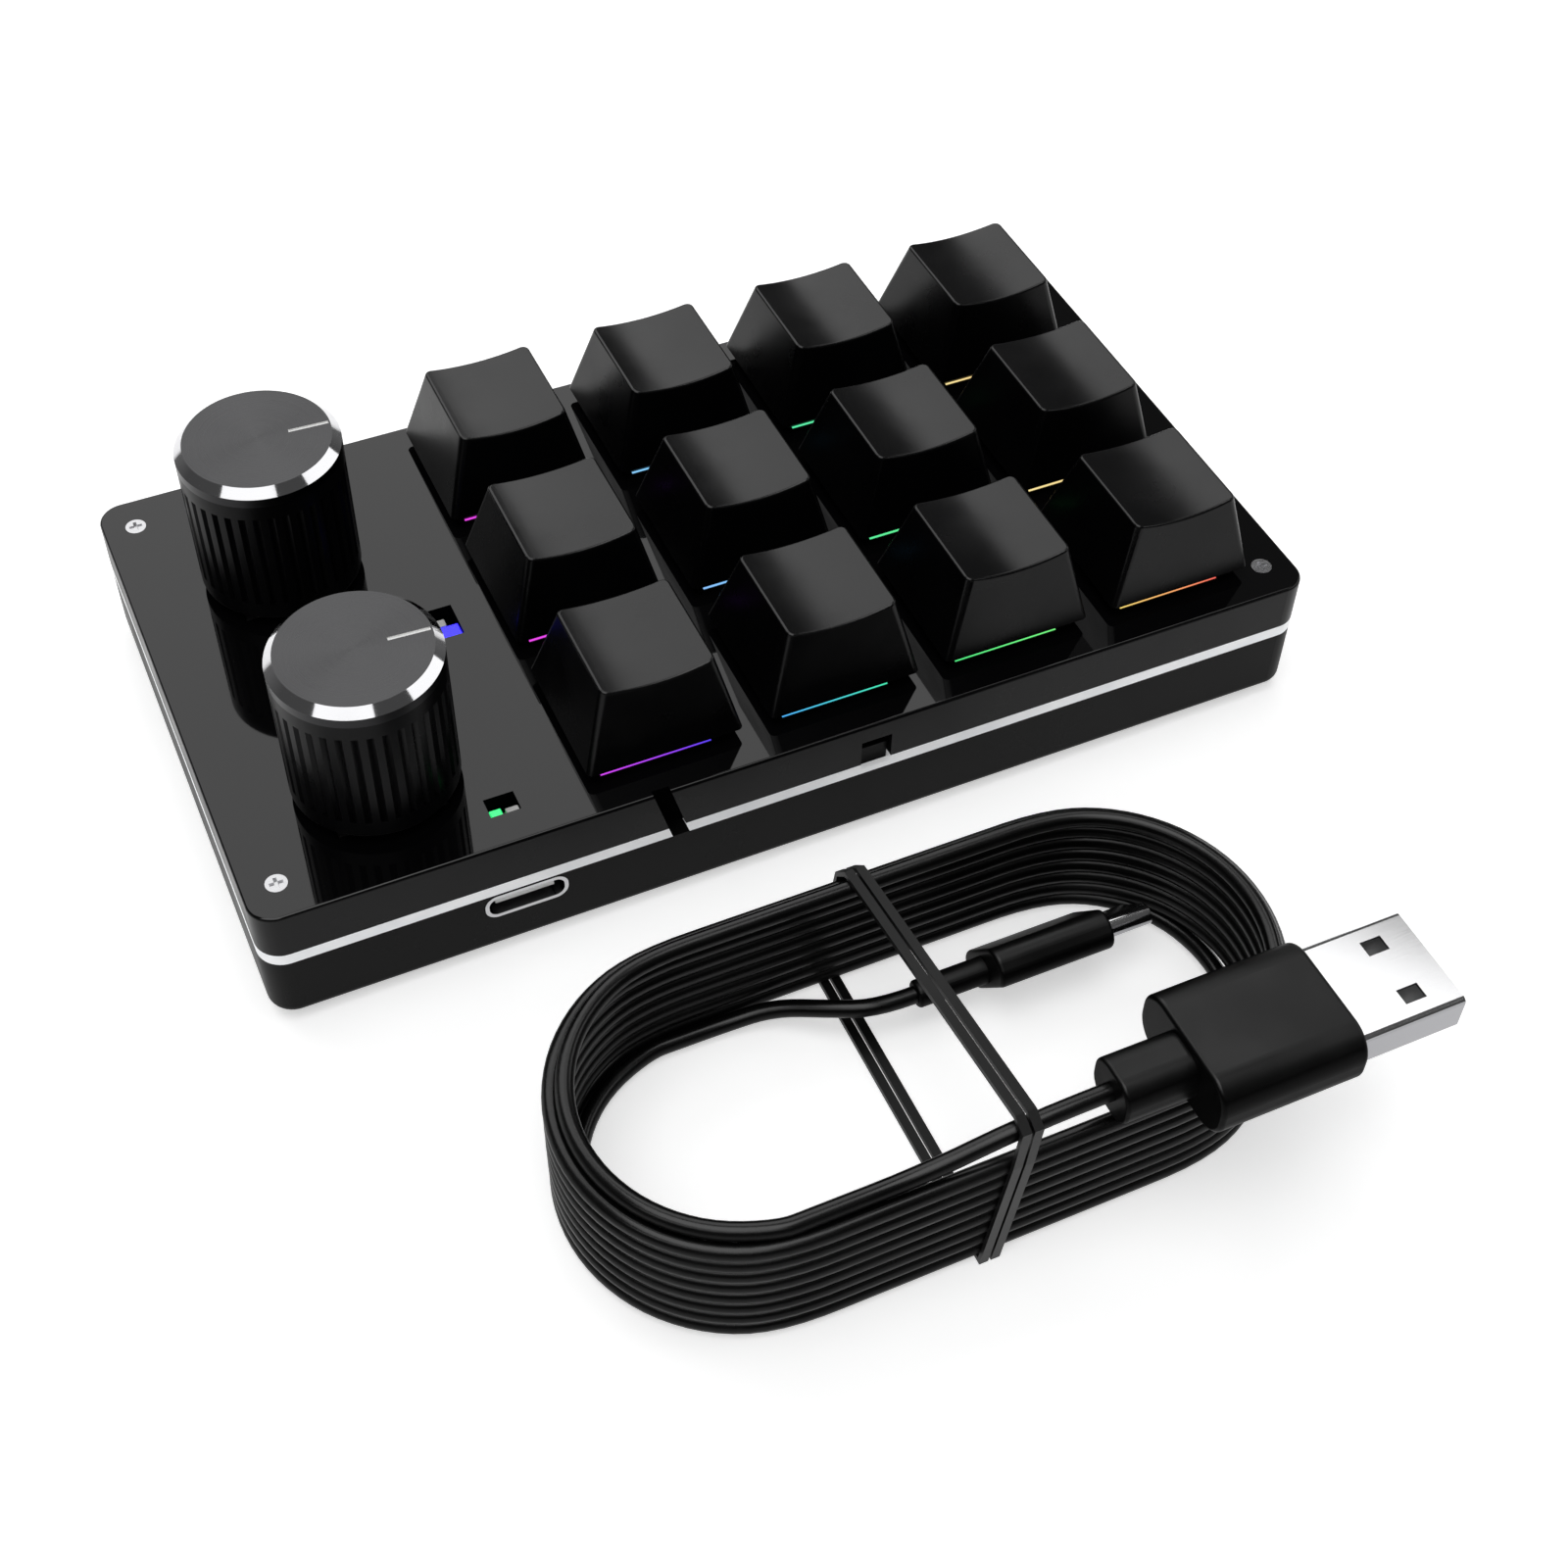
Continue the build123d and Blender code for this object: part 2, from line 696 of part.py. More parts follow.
with BuildPart() as encoder_base:
    with BuildSketch(on_level(board_top_z)):
        Rectangle(encoder_body, encoder_body)
    extrude(amount=encoder_height)
    with BuildSketch(on_level(encoder_top_z)):
        Circle(bushing_diameter / 2)
    extrude(amount=bushing_height)
    with BuildSketch(on_level(chamber_floor_z)):
        Circle(encoder_chamber_diameter / 2)
    extrude(amount=chamber_ceiling_z - chamber_floor_z, mode=Mode.SUBTRACT)
    with BuildSketch(on_level(chamber_ceiling_z)):
        Circle(shaft_diameter / 2 + shaft_running_fit)
    extrude(amount=bushing_top_z - chamber_ceiling_z, mode=Mode.SUBTRACT)
save(copies(encoder_base.part, knob_spots), "encoder_bases")

with BuildPart() as encoder_dome:
    with BuildSketch(on_level(chamber_floor_z)):
        Circle(encoder_chamber_diameter / 2 - encoder_fit)
    with BuildSketch(on_level(plunger_z)):
        Circle(shaft_diameter / 2)
    loft()
    with BuildSketch(on_level(chamber_floor_z)):
        Circle(encoder_chamber_diameter / 2 - encoder_fit - dome_sheet)
    with BuildSketch(on_level(plunger_z - dome_sheet)):
        Circle(shaft_diameter / 2 - dome_sheet)
    loft(mode=Mode.SUBTRACT)
save(copies(encoder_dome.part, knob_spots), "encoder_domes")

with BuildPart() as encoder_plunger:
    with BuildSketch(on_level(plunger_z)):
        Circle(encoder_chamber_diameter / 2 - shaft_running_fit)
    extrude(amount=plunger_height)

with BuildPart() as encoder_shaft:
    with BuildSketch(on_level(shaft_flange_z)):
        Circle(shaft_flange_diameter / 2)
    extrude(amount=shaft_flange_height)
    with BuildSketch(on_level(shaft_flange_z)):
        Circle(shaft_diameter / 2)
    extrude(amount=shaft_top_z - shaft_flange_z)
    with BuildSketch(on_level(skirt_hollow_top_z)):
        with Locations((0, shaft_flat_offset + shaft_flat_depth / 2)):
            Rectangle(shaft_diameter, shaft_flat_depth)
    extrude(amount=shaft_top_z - skirt_hollow_top_z, mode=Mode.SUBTRACT)


# ---------------------------------------------------------------- knobs
fluted_z = knob_disc_z - knob_band_height - knob_flute_length

with BuildPart() as knob_skirt:
    with BuildSketch(on_level(knob_z)):
        Circle(knob_diameter / 2)
    extrude(amount=knob_disc_z - knob_z)
    fillet(knob_skirt.faces().sort_by(Axis.Z)[0].edges(), skirt_edge_radius)
    with BuildSketch(on_level(fluted_z)):
        with PolarLocations(knob_diameter / 2, flute_count):
            Polygon(
                (-flute_depth, 0),
                (flute_depth, -flute_width),
                (flute_depth, flute_width),
                align=None,
            )
    extrude(amount=knob_flute_length, mode=Mode.SUBTRACT)
    with BuildSketch(on_level(knob_z)):
        Circle(skirt_hollow_diameter / 2)
    extrude(amount=skirt_hollow_depth, mode=Mode.SUBTRACT)
    with BuildSketch(on_level(knob_disc_z)):
        Circle(knob_disc_spigot / 2)
    extrude(amount=-knob_disc_spigot_height, mode=Mode.SUBTRACT)
    # bore with a flat, for the shaft
    with BuildSketch(on_level(skirt_hollow_top_z)):
        Circle(shaft_diameter / 2)
        with Locations((0, shaft_flat_offset + shaft_flat_depth / 2)):
            Rectangle(shaft_diameter, shaft_flat_depth, mode=Mode.SUBTRACT)
    extrude(amount=knob_disc_z - skirt_hollow_top_z, mode=Mode.SUBTRACT)

with BuildPart() as knob_disc:
    with BuildSketch(on_level(knob_disc_z)):
        Circle(knob_diameter / 2)
    extrude(amount=knob_disc_side + knob_disc_bevel)
    chamfer(knob_disc.faces().sort_by(Axis.Z)[-1].edges(), knob_disc_bevel)
    with BuildSketch(on_level(knob_disc_z)):
        Circle(knob_disc_spigot / 2)
    extrude(amount=-knob_disc_spigot_height)
    # pointer line
    with BuildSketch(Plane.XY.offset(knob_top_z).rotated((0, 0, pointer_angle))):
        with Locations((pointer_start + pointer_length / 2, 0)):
            Rectangle(pointer_length, pointer_width)
    extrude(amount=-pointer_depth, mode=Mode.SUBTRACT)

for place, spot in zip(("front", "back"), knob_spots):
    save(copies(encoder_plunger.part, [spot]), f"{place}_encoder_plunger")
    save(copies(encoder_shaft.part, [spot]), f"{place}_encoder_shaft")
    save(copies(knob_skirt.part, [spot]), f"{place}_knob_skirt")
    save(copies(knob_disc.part, [spot]), f"{place}_knob_disc")


# ---------------------------------------------------------------- hank of the USB lead, and its tie
hank_z = tie_thickness
column_inner_radius = hank_outer_radius - cord_diameter
column_top_z = hank_z + hank_layers * cord_diameter
top_turn_rise = sqrt(cord_diameter ** 2 - hank_top_turn_inset ** 2)
hank_top_z = column_top_z + top_turn_rise
top_turn_z = hank_top_z - cord_diameter / 2
top_turn_radius = hank_outer_radius - hank_top_turn_inset
hank_left_x = hank_x - hank_straight / 2
hank_far_y = hank_y + hank_outer_radius
hank_near_y = hank_y - hank_outer_radius
hank_right_end_x = hank_x + hank_straight / 2 + hank_outer_radius
usb_a_z = column_top_z + usb_a_rest_gap + usb_a_body_height / 2
usb_a_y = hank_y + usb_a_line
usb_a_x = hank_x + usb_a_start
usb_a_lift_x = usb_a_x - usb_a_cord_run - usb_a_cord_lift_run
usb_a_back_y = usb_a_y + usb_a_body_width / 2 + usb_a_rest_gap

with BuildPart() as lead_hank:
    # column of turns that lie on each other
    with BuildSketch(on_level(hank_z)):
        with Locations((hank_x, hank_y)):
            SlotCenterToCenter(hank_straight, 2 * hank_outer_radius)
            SlotCenterToCenter(hank_straight, 2 * column_inner_radius, mode=Mode.SUBTRACT)
    extrude(amount=column_top_z - hank_z)
    # last half turn, inside the column's foot along the near run and round the left bend
    with BuildSketch(on_level(hank_z)):
        with Locations((hank_x, hank_y)):
            SlotCenterToCenter(hank_straight, 2 * column_inner_radius)
            SlotCenterToCenter(
                hank_straight, 2 * (column_inner_radius - cord_diameter), mode=Mode.SUBTRACT)
        with Locations(((hank_left_x + hank_right_end_x) / 2, hank_y + hank_outer_radius / 2)):
            Rectangle(hank_right_end_x - hank_left_x, hank_outer_radius, mode=Mode.SUBTRACT)
        with Locations((hank_right_end_x - hank_outer_radius / 2, hank_y)):
            Rectangle(hank_outer_radius, 2 * hank_outer_radius, mode=Mode.SUBTRACT)
    extrude(amount=cord_diameter)
    # first turn, on the column's inner shoulder; it ends where the cord rises to the USB-A plug
    with BuildSketch(on_level(hank_top_z - cord_diameter)):
        with Locations((hank_x, hank_y)):
            SlotCenterToCenter(hank_straight, 2 * top_turn_radius)
            SlotCenterToCenter(
                hank_straight, 2 * (top_turn_radius - cord_diameter), mode=Mode.SUBTRACT)
        with Locations(((usb_a_lift_x + hank_right_end_x) / 2, (hank_near_y + usb_a_back_y) / 2)):
            Rectangle(
                hank_right_end_x - usb_a_lift_x, usb_a_back_y - hank_near_y, mode=Mode.SUBTRACT)
    extrude(amount=cord_diameter)
    fillet(lead_hank.faces().sort_by(Axis.Z)[-1].edges(), hank_edge_radius)
save(lead_hank.part, "lead_hank")

# inner outline of the tie in the YZ plane: round the hank, and over the cord that rises to the plug
tie_cord_reach = cord_diameter / 2 + tie_cord_clearance
tie_cord_facet = tie_cord_reach * tan(pi / 8)
tie_corners = [
    (hank_far_y, hank_z),
    (hank_far_y, column_top_z),
    (hank_far_y - hank_top_turn_inset, hank_top_z),
    (usb_a_y + tie_cord_facet, usb_a_z + tie_cord_reach),
    (usb_a_y - tie_cord_reach, usb_a_z + tie_cord_facet),
    (hank_near_y, column_top_z),
    (hank_near_y, hank_z),
]
tie_top_z = usb_a_z + tie_cord_reach + tie_thickness
tie_reach = hank_outer_radius + 2 * tie_thickness

with BuildPart() as cable_tie:
    with BuildSketch(Plane.YZ):
        with BuildLine():
            Polyline(*tie_corners, close=True)
        make_face()
        offset(amount=tie_thickness, kind=Kind.INTERSECTION)
        with BuildLine():
            Polyline(*tie_corners, close=True)
        make_face(mode=Mode.SUBTRACT)
    extrude(amount=hank_straight / 2, both=True)
    # the band is two strips that lean
    with BuildSketch(Plane.XZ.offset(-(hank_y + tie_reach))):
        for side in (-1, 1):
            strip_shift = hank_x + side * (tie_strip_width + tie_strip_gap) / 2
            top_x = strip_shift + tie_top_offset
            bottom_x = strip_shift + tie_bottom_offset
            with BuildLine():
                Polyline(
                    (bottom_x - tie_strip_width / 2, 0),
                    (bottom_x + tie_strip_width / 2, 0),
                    (top_x + tie_strip_width / 2, tie_top_z),
                    (top_x - tie_strip_width / 2, tie_top_z),
                    close=True,
                )
            make_face()
    extrude(amount=2 * tie_reach, mode=Mode.INTERSECT)
save(cable_tie.part, "cable_tie")


# ---------------------------------------------------------------- USB-A plug
usb_a_body_x = usb_a_x + usb_a_relief_length
usb_a_shell_x = usb_a_body_x + usb_a_body_length
usb_a_tip_x = usb_a_shell_x + usb_a_shell_length

with BuildPart() as usb_a_overmould:
    with BuildSketch(Plane.YZ.offset(usb_a_body_x)):
        with Locations((usb_a_y, usb_a_z)):
            RectangleRounded(usb_a_body_width, usb_a_body_height, usb_a_body_corner)
    extrude(amount=usb_a_body_length)
    fillet(usb_a_overmould.edges().group_by(Axis.X)[0], usb_a_body_edge)
    fillet(usb_a_overmould.edges().group_by(Axis.X)[-1], usb_a_body_edge)
    # strain relief
    with BuildSketch(Plane.YZ.offset(usb_a_x)):
        with Locations((usb_a_y, usb_a_z)):
            RectangleRounded(usb_a_relief_width, usb_a_relief_height, usb_a_relief_corner)
    extrude(amount=usb_a_relief_length)
    fillet(usb_a_overmould.edges().group_by(Axis.X)[0], usb_a_relief_edge)
save(usb_a_overmould.part, "usb_a_overmould")

with BuildPart() as usb_a_shell:
    with BuildSketch(Plane.YZ.offset(usb_a_shell_x)):
        with Locations((usb_a_y, usb_a_z)):
            RectangleRounded(usb_a_shell_width, usb_a_shell_height, usb_a_shell_corner)
            RectangleRounded(
                usb_a_shell_width - 2 * usb_a_shell_wall,
                usb_a_shell_height - 2 * usb_a_shell_wall,
                usb_a_shell_corner - usb_a_shell_wall,
                mode=Mode.SUBTRACT,
            )
    extrude(amount=usb_a_shell_length)
    # latch holes on both broad sides
    with BuildSketch(on_level(usb_a_z - usb_a_shell_height)):
        with Locations((usb_a_tip_x - usb_a_hole_setback, usb_a_y)):
            with GridLocations(0, usb_a_hole_pitch, 1, 2):
                Rectangle(usb_a_hole_length, usb_a_hole_width)
    extrude(amount=2 * usb_a_shell_height, mode=Mode.SUBTRACT)
save(usb_a_shell.part, "usb_a_shell")

usb_a_insert_z = usb_a_z - usb_a_shell_height / 2 + usb_a_shell_wall + usb_a_insert_thickness / 2

with BuildPart() as usb_a_insert:
    with BuildSketch(Plane.YZ.offset(usb_a_shell_x)):
        with Locations((usb_a_y, usb_a_insert_z)):
            Rectangle(usb_a_shell_width - 2 * usb_a_shell_corner, usb_a_insert_thickness)
    extrude(amount=usb_a_shell_length - usb_a_insert_setback)
save(usb_a_insert.part, "usb_a_insert")


# ---------------------------------------------------------------- device plug
plug_x = hank_x + plug_start
plug_y = hank_y + plug_line
plug_lean = radians(plug_lean_angle)
plug_z = (
    (plug_body_width / 2 - plug_body_corner) * sin(plug_lean)
    + (plug_body_thickness / 2 - plug_body_corner) * cos(plug_lean)
    + plug_body_corner
)
plug_plane = Plane((plug_x, plug_y, plug_z), x_dir=(0, -cos(plug_lean), sin(plug_lean)), z_dir=(1, 0, 0))

with BuildPart() as plug_overmould:
    with BuildSketch(plug_plane.offset(plug_relief_length)):
        RectangleRounded(plug_body_width, plug_body_thickness, plug_body_corner)
    extrude(amount=plug_body_length)
    fillet(plug_overmould.edges().group_by(Axis.X)[0], plug_body_edge)
    fillet(plug_overmould.edges().group_by(Axis.X)[-1], plug_body_edge)
    # strain relief
    with BuildSketch(plug_plane):
        Circle(plug_relief_diameter / 2)
    extrude(amount=plug_relief_length)
    fillet(plug_overmould.edges().group_by(Axis.X)[0], plug_relief_edge)
save(plug_overmould.part, "plug_overmould")

with BuildPart() as plug_shell:
    with BuildSketch(plug_plane.offset(plug_relief_length + plug_body_length)):
        RectangleRounded(plug_shell_width, plug_shell_thickness, plug_shell_corner)
        RectangleRounded(
            plug_shell_width - 2 * plug_shell_wall,
            plug_shell_thickness - 2 * plug_shell_wall,
            plug_shell_corner - plug_shell_wall,
            mode=Mode.SUBTRACT,
        )
    extrude(amount=plug_shell_length)
save(plug_shell.part, "plug_shell")


# ---------------------------------------------------------------- loose stretches of the lead
def cord_stretch(points, name):
    """A tube of the cord through the corners of its route, with the widest arc at each corner."""
    corners = [Vector(*point) for point in points]
    radii = []
    for before, corner, after in zip(corners, corners[1:], corners[2:]):
        turn = radians((corner - before).get_angle(after - corner))
        shorter_run = min((corner - before).length, (after - corner).length)
        radii.append(arc_share * shorter_run / tan(turn / 2))
    print(name, "radii", [round(radius, 1) for radius in radii])
    with BuildPart() as stretch:
        with BuildLine() as route:
            FilletPolyline(*points, radius=radii)
        with BuildSketch(Plane(route.line @ 0, z_dir=route.line % 0)):
            Circle(cord_diameter / 2)
        sweep()
    length = route.wires()[0].length
    plain_volume = pi * (cord_diameter / 2) ** 2 * length
    print(name, "length", round(length, 1), "volume ratio", round(stretch.part.volume / plain_volume, 4))
    save(stretch.part, name)


# from the first turn up to the USB-A plug, under the tie
first_turn_y = hank_y - (top_turn_radius - cord_diameter / 2)
cord_stretch(
    [
        (hank_left_x, first_turn_y, top_turn_z),
        (usb_a_lift_x, first_turn_y, top_turn_z),
        (usb_a_x - usb_a_cord_run, usb_a_y, usb_a_z),
        (usb_a_x, usb_a_y, usb_a_z),
    ],
    "lead_to_usb_a",
)

# from the last turn at the column's foot, over the tie's lower pass, to the device plug
last_turn_y = hank_y + column_inner_radius - cord_diameter / 2
last_turn_z = hank_z + cord_diameter / 2
climb_x = hank_left_x + plug_cord_flat_run
cord_stretch(
    [
        (hank_left_x, last_turn_y, last_turn_z),
        (climb_x, last_turn_y, last_turn_z),
        (climb_x + plug_cord_climb_run, last_turn_y, last_turn_z + plug_cord_climb),
        (plug_x - plug_cord_run, plug_y, plug_z),
        (plug_x, plug_y, plug_z),
    ],
    "lead_to_plug",
)
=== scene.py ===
"""Looks of a macro keypad: materials, key lights, USB lead, studio and camera, laid out as an add-on."""
from math import cos, pi, radians, sin, sqrt

import bmesh
import bpy
from bpy.props import FloatProperty, FloatVectorProperty, IntProperty, PointerProperty
from mathutils import Matrix, Vector


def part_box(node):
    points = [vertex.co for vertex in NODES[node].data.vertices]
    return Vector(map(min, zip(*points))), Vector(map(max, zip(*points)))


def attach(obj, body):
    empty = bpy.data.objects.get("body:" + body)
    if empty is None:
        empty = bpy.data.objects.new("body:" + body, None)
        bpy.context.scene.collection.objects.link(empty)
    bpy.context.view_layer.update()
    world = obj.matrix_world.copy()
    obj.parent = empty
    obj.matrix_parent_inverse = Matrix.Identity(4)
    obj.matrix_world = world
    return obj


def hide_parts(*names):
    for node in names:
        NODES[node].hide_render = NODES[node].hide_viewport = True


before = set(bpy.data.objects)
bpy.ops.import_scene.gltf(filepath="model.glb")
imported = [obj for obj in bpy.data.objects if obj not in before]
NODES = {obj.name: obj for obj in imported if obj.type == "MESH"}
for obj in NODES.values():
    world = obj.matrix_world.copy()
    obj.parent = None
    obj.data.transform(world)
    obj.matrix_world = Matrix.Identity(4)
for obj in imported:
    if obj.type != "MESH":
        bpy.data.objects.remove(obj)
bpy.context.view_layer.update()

bl_info = {
    "name": "Macro Keypad Looks",
    "version": (1, 0, 0),
    "blender": (4, 5, 0),
    "location": "View3D > Sidebar > Keypad",
    "description": "Dresses a twelve-key macro keypad with two knobs and its tied USB lead",
    "category": "Object",
}

MM = 0.001
ROWS = (1, 2, 3)
COLUMNS = (1, 2, 3, 4)
KNOBS = ("front", "back")

# refractive index of ABS, nylon and epoxy
PLASTIC_IOR = 1.53
# specular level of the satin sides, well under the 0.5 of the polished deck
SIDE_GLOSS = 0.11
# share by which the tint and roughness of a moulded surface wander
WANDER = 0.12
# sizes of the finger smears on a smooth moulding and of the slow waves in it
SMEAR_SIZE = 9 * MM
WAVE_SIZE = 25 * MM
# upward part of the normal at which the finish of a side ends and that of a top begins
SIDE_UP, TOP_UP = 0.6, 0.9

DECK_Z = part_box("top_cover")[1].z
HANK_LOW, HANK_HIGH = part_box("lead_hank")


def middle(node):
    """Centre of a node's box at rest."""
    low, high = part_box(node)
    return (low + high) / 2


def linear(hex_colour):
    """An sRGB hex colour as linear RGBA."""
    parts = [int(hex_colour[n:n + 2], 16) / 255 for n in (1, 3, 5)]
    return (*[p / 12.92 if p <= 0.04045 else ((p + 0.055) / 1.055) ** 2.4 for p in parts], 1.0)


def shaded(colour, share):
    """A linear RGBA colour made darker or lighter by a share."""
    return (*[min(1.0, part * share) for part in colour[:3]], 1.0)


# ---------------------------------------------------------------- settings that a user would change
class LeadSettings(bpy.types.PropertyGroup):
    """Sizes of the USB lead's hank."""
    cord_diameter: FloatProperty(
        name="Cord Diameter", description="Thickness of the cord", default=1.95 * MM, unit="LENGTH")
    layers: IntProperty(
        name="Layers", description="Turns of cord that lie on each other in the hank", default=8, min=2)
    top_inset: FloatProperty(
        name="Top Turn Inset", description="How far the first turn lies inside the turns under it",
        default=1.36 * MM, unit="LENGTH")
    length: FloatProperty(
        name="Lead Length", description="Length of the cord between its two plugs",
        default=1.86, unit="LENGTH")


class LightSettings(bpy.types.PropertyGroup):
    """Brightness of the keypad's own lights."""
    key_light_strength: FloatProperty(
        name="Key Light", description="Brightness of the line of light under each key", default=1.0)
    indicator_strength: FloatProperty(
        name="Indicator", description="Brightness of the two indicator lights", default=1.1)
    band_strength: FloatProperty(
        name="Light Band", description="Brightness of the band round the case", default=0.19)
    line_height: FloatProperty(
        name="Key Light Height", description="Height of the visible line of light",
        default=0.11 * MM, unit="LENGTH")


class FinishSettings(bpy.types.PropertyGroup):
    """Colours and roughness of the main finishes."""
    cover_colour: FloatVectorProperty(
        name="Cover Colour", description="Colour of the glossy top cover",
        subtype="COLOR", size=4, default=linear("#070708"))
    case_colour: FloatVectorProperty(
        name="Case Colour", description="Colour of the satin bottom case",
        subtype="COLOR", size=4, default=linear("#0e0e0e"))
    keycap_colour: FloatVectorProperty(
        name="Keycap Colour", description="Colour of the keycaps",
        subtype="COLOR", size=4, default=linear("#060607"))
    disc_colour: FloatVectorProperty(
        name="Knob Top Colour", description="Colour of the anodised knob tops",
        subtype="COLOR", size=4, default=linear("#575758"))
    spin_pitch: FloatProperty(
        name="Spin Line Pitch", description="Distance between the turned rings on the knob tops",
        default=0.35 * MM, unit="LENGTH")


class StudioSettings(bpy.types.PropertyGroup):
    """Camera and lights of the studio."""
    lens: FloatProperty(name="Lens", description="Focal length of the camera, in millimetres", default=52.56)
    azimuth: FloatProperty(
        name="Azimuth", description="Turn of the view to the right of straight ahead",
        default=radians(25.47), subtype="ANGLE")
    elevation: FloatProperty(
        name="Elevation", description="Height of the view over the table", default=radians(48.717),
        subtype="ANGLE")
    roll: FloatProperty(
        name="Roll", description="Tilt of the camera about its own line of sight",
        default=radians(1.395), subtype="ANGLE")
    distance: FloatProperty(
        name="Distance", description="Distance from the camera to the point that it looks at",
        default=267.07 * MM, unit="LENGTH")
    overhead_radiance: FloatProperty(
        name="Overhead Light", description="Brightness of the large softbox behind the keypad", default=1.27)
    floor_radiance: FloatProperty(
        name="Floor Light", description="Brightness of the softbox high above the keypad", default=2.0)
    strip_radiance: FloatProperty(
        name="Strip Lights", description="Brightness of the small softboxes", default=1.4)
    paper_glow: FloatProperty(
        name="Paper Glow", description="Light that comes through the lit studio floor", default=0.55)


# ---------------------------------------------------------------- helpers for nodes and pieces
def add_node(tree, kind, inputs=None, stops=(), **settings):
    """Add a shader node with its settings; an input takes a value or the socket that feeds it.

    stops are the two (position, linear colour) ends of a colour ramp.
    """
    node = tree.nodes.new(kind)
    for name, value in settings.items():
        setattr(node, name, value)
    for name, value in (inputs or {}).items():
        if isinstance(value, bpy.types.NodeSocket):
            tree.links.new(value, node.inputs[name])
        else:
            node.inputs[name].default_value = value
    for number, (position, colour) in enumerate(stops):
        stop = node.color_ramp.elements[number]
        stop.position, stop.color = position, colour
    return node


def new_material(name):
    """An empty node material with its output, as (material, tree, output)."""
    material = bpy.data.materials.new(name)
    material.use_nodes = True
    tree = material.node_tree
    tree.nodes.clear()
    return material, tree, add_node(tree, "ShaderNodeOutputMaterial")


def grain(tree, size, depth, roughness, colour):
    """A moulded surface's grain of a size in metres, as (bump normal, roughness, colour)."""
    place = add_node(tree, "ShaderNodeTexCoord").outputs["Object"]
    fine = add_node(
        tree, "ShaderNodeTexNoise", {"Vector": place, "Scale": 1 / size, "Detail": 3.0, "Roughness": 0.6})
    # patches that are some 25 grains wide
    broad = add_node(
        tree, "ShaderNodeTexNoise",
        {"Vector": place, "Scale": 0.04 / size, "Detail": 4.0, "Roughness": 0.55})
    bump = add_node(
        tree, "ShaderNodeBump", {"Height": fine.outputs["Fac"], "Strength": 1.0, "Distance": depth})
    rough = add_node(
        tree, "ShaderNodeMapRange",
        {"Value": broad.outputs["Fac"], "From Min": 0.3, "From Max": 0.7,
         "To Min": roughness * (1 - WANDER), "To Max": roughness * (1 + WANDER)})
    tint = add_node(
        tree, "ShaderNodeValToRGB", {"Fac": broad.outputs["Fac"]},
        stops=[(0.3, shaded(colour, 1 - WANDER)), (0.7, shaded(colour, 1 + WANDER))]).outputs["Color"]
    return bump.outputs["Normal"], rough.outputs["Result"], tint


def moulded(name, colour, size, depth, roughness, ior=PLASTIC_IOR, **more):
    """A moulded plastic or rubber whose grain has a size and a depth in metres."""
    material, tree, output = new_material(name)
    normal, rough, tint = grain(tree, size, depth, roughness, colour)
    shader = add_node(
        tree, "ShaderNodeBsdfPrincipled",
        {"Base Color": tint, "Roughness": rough, "Normal": normal, "IOR": ior, **more})
    tree.links.new(shader.outputs["BSDF"], output.inputs["Surface"])
    return material


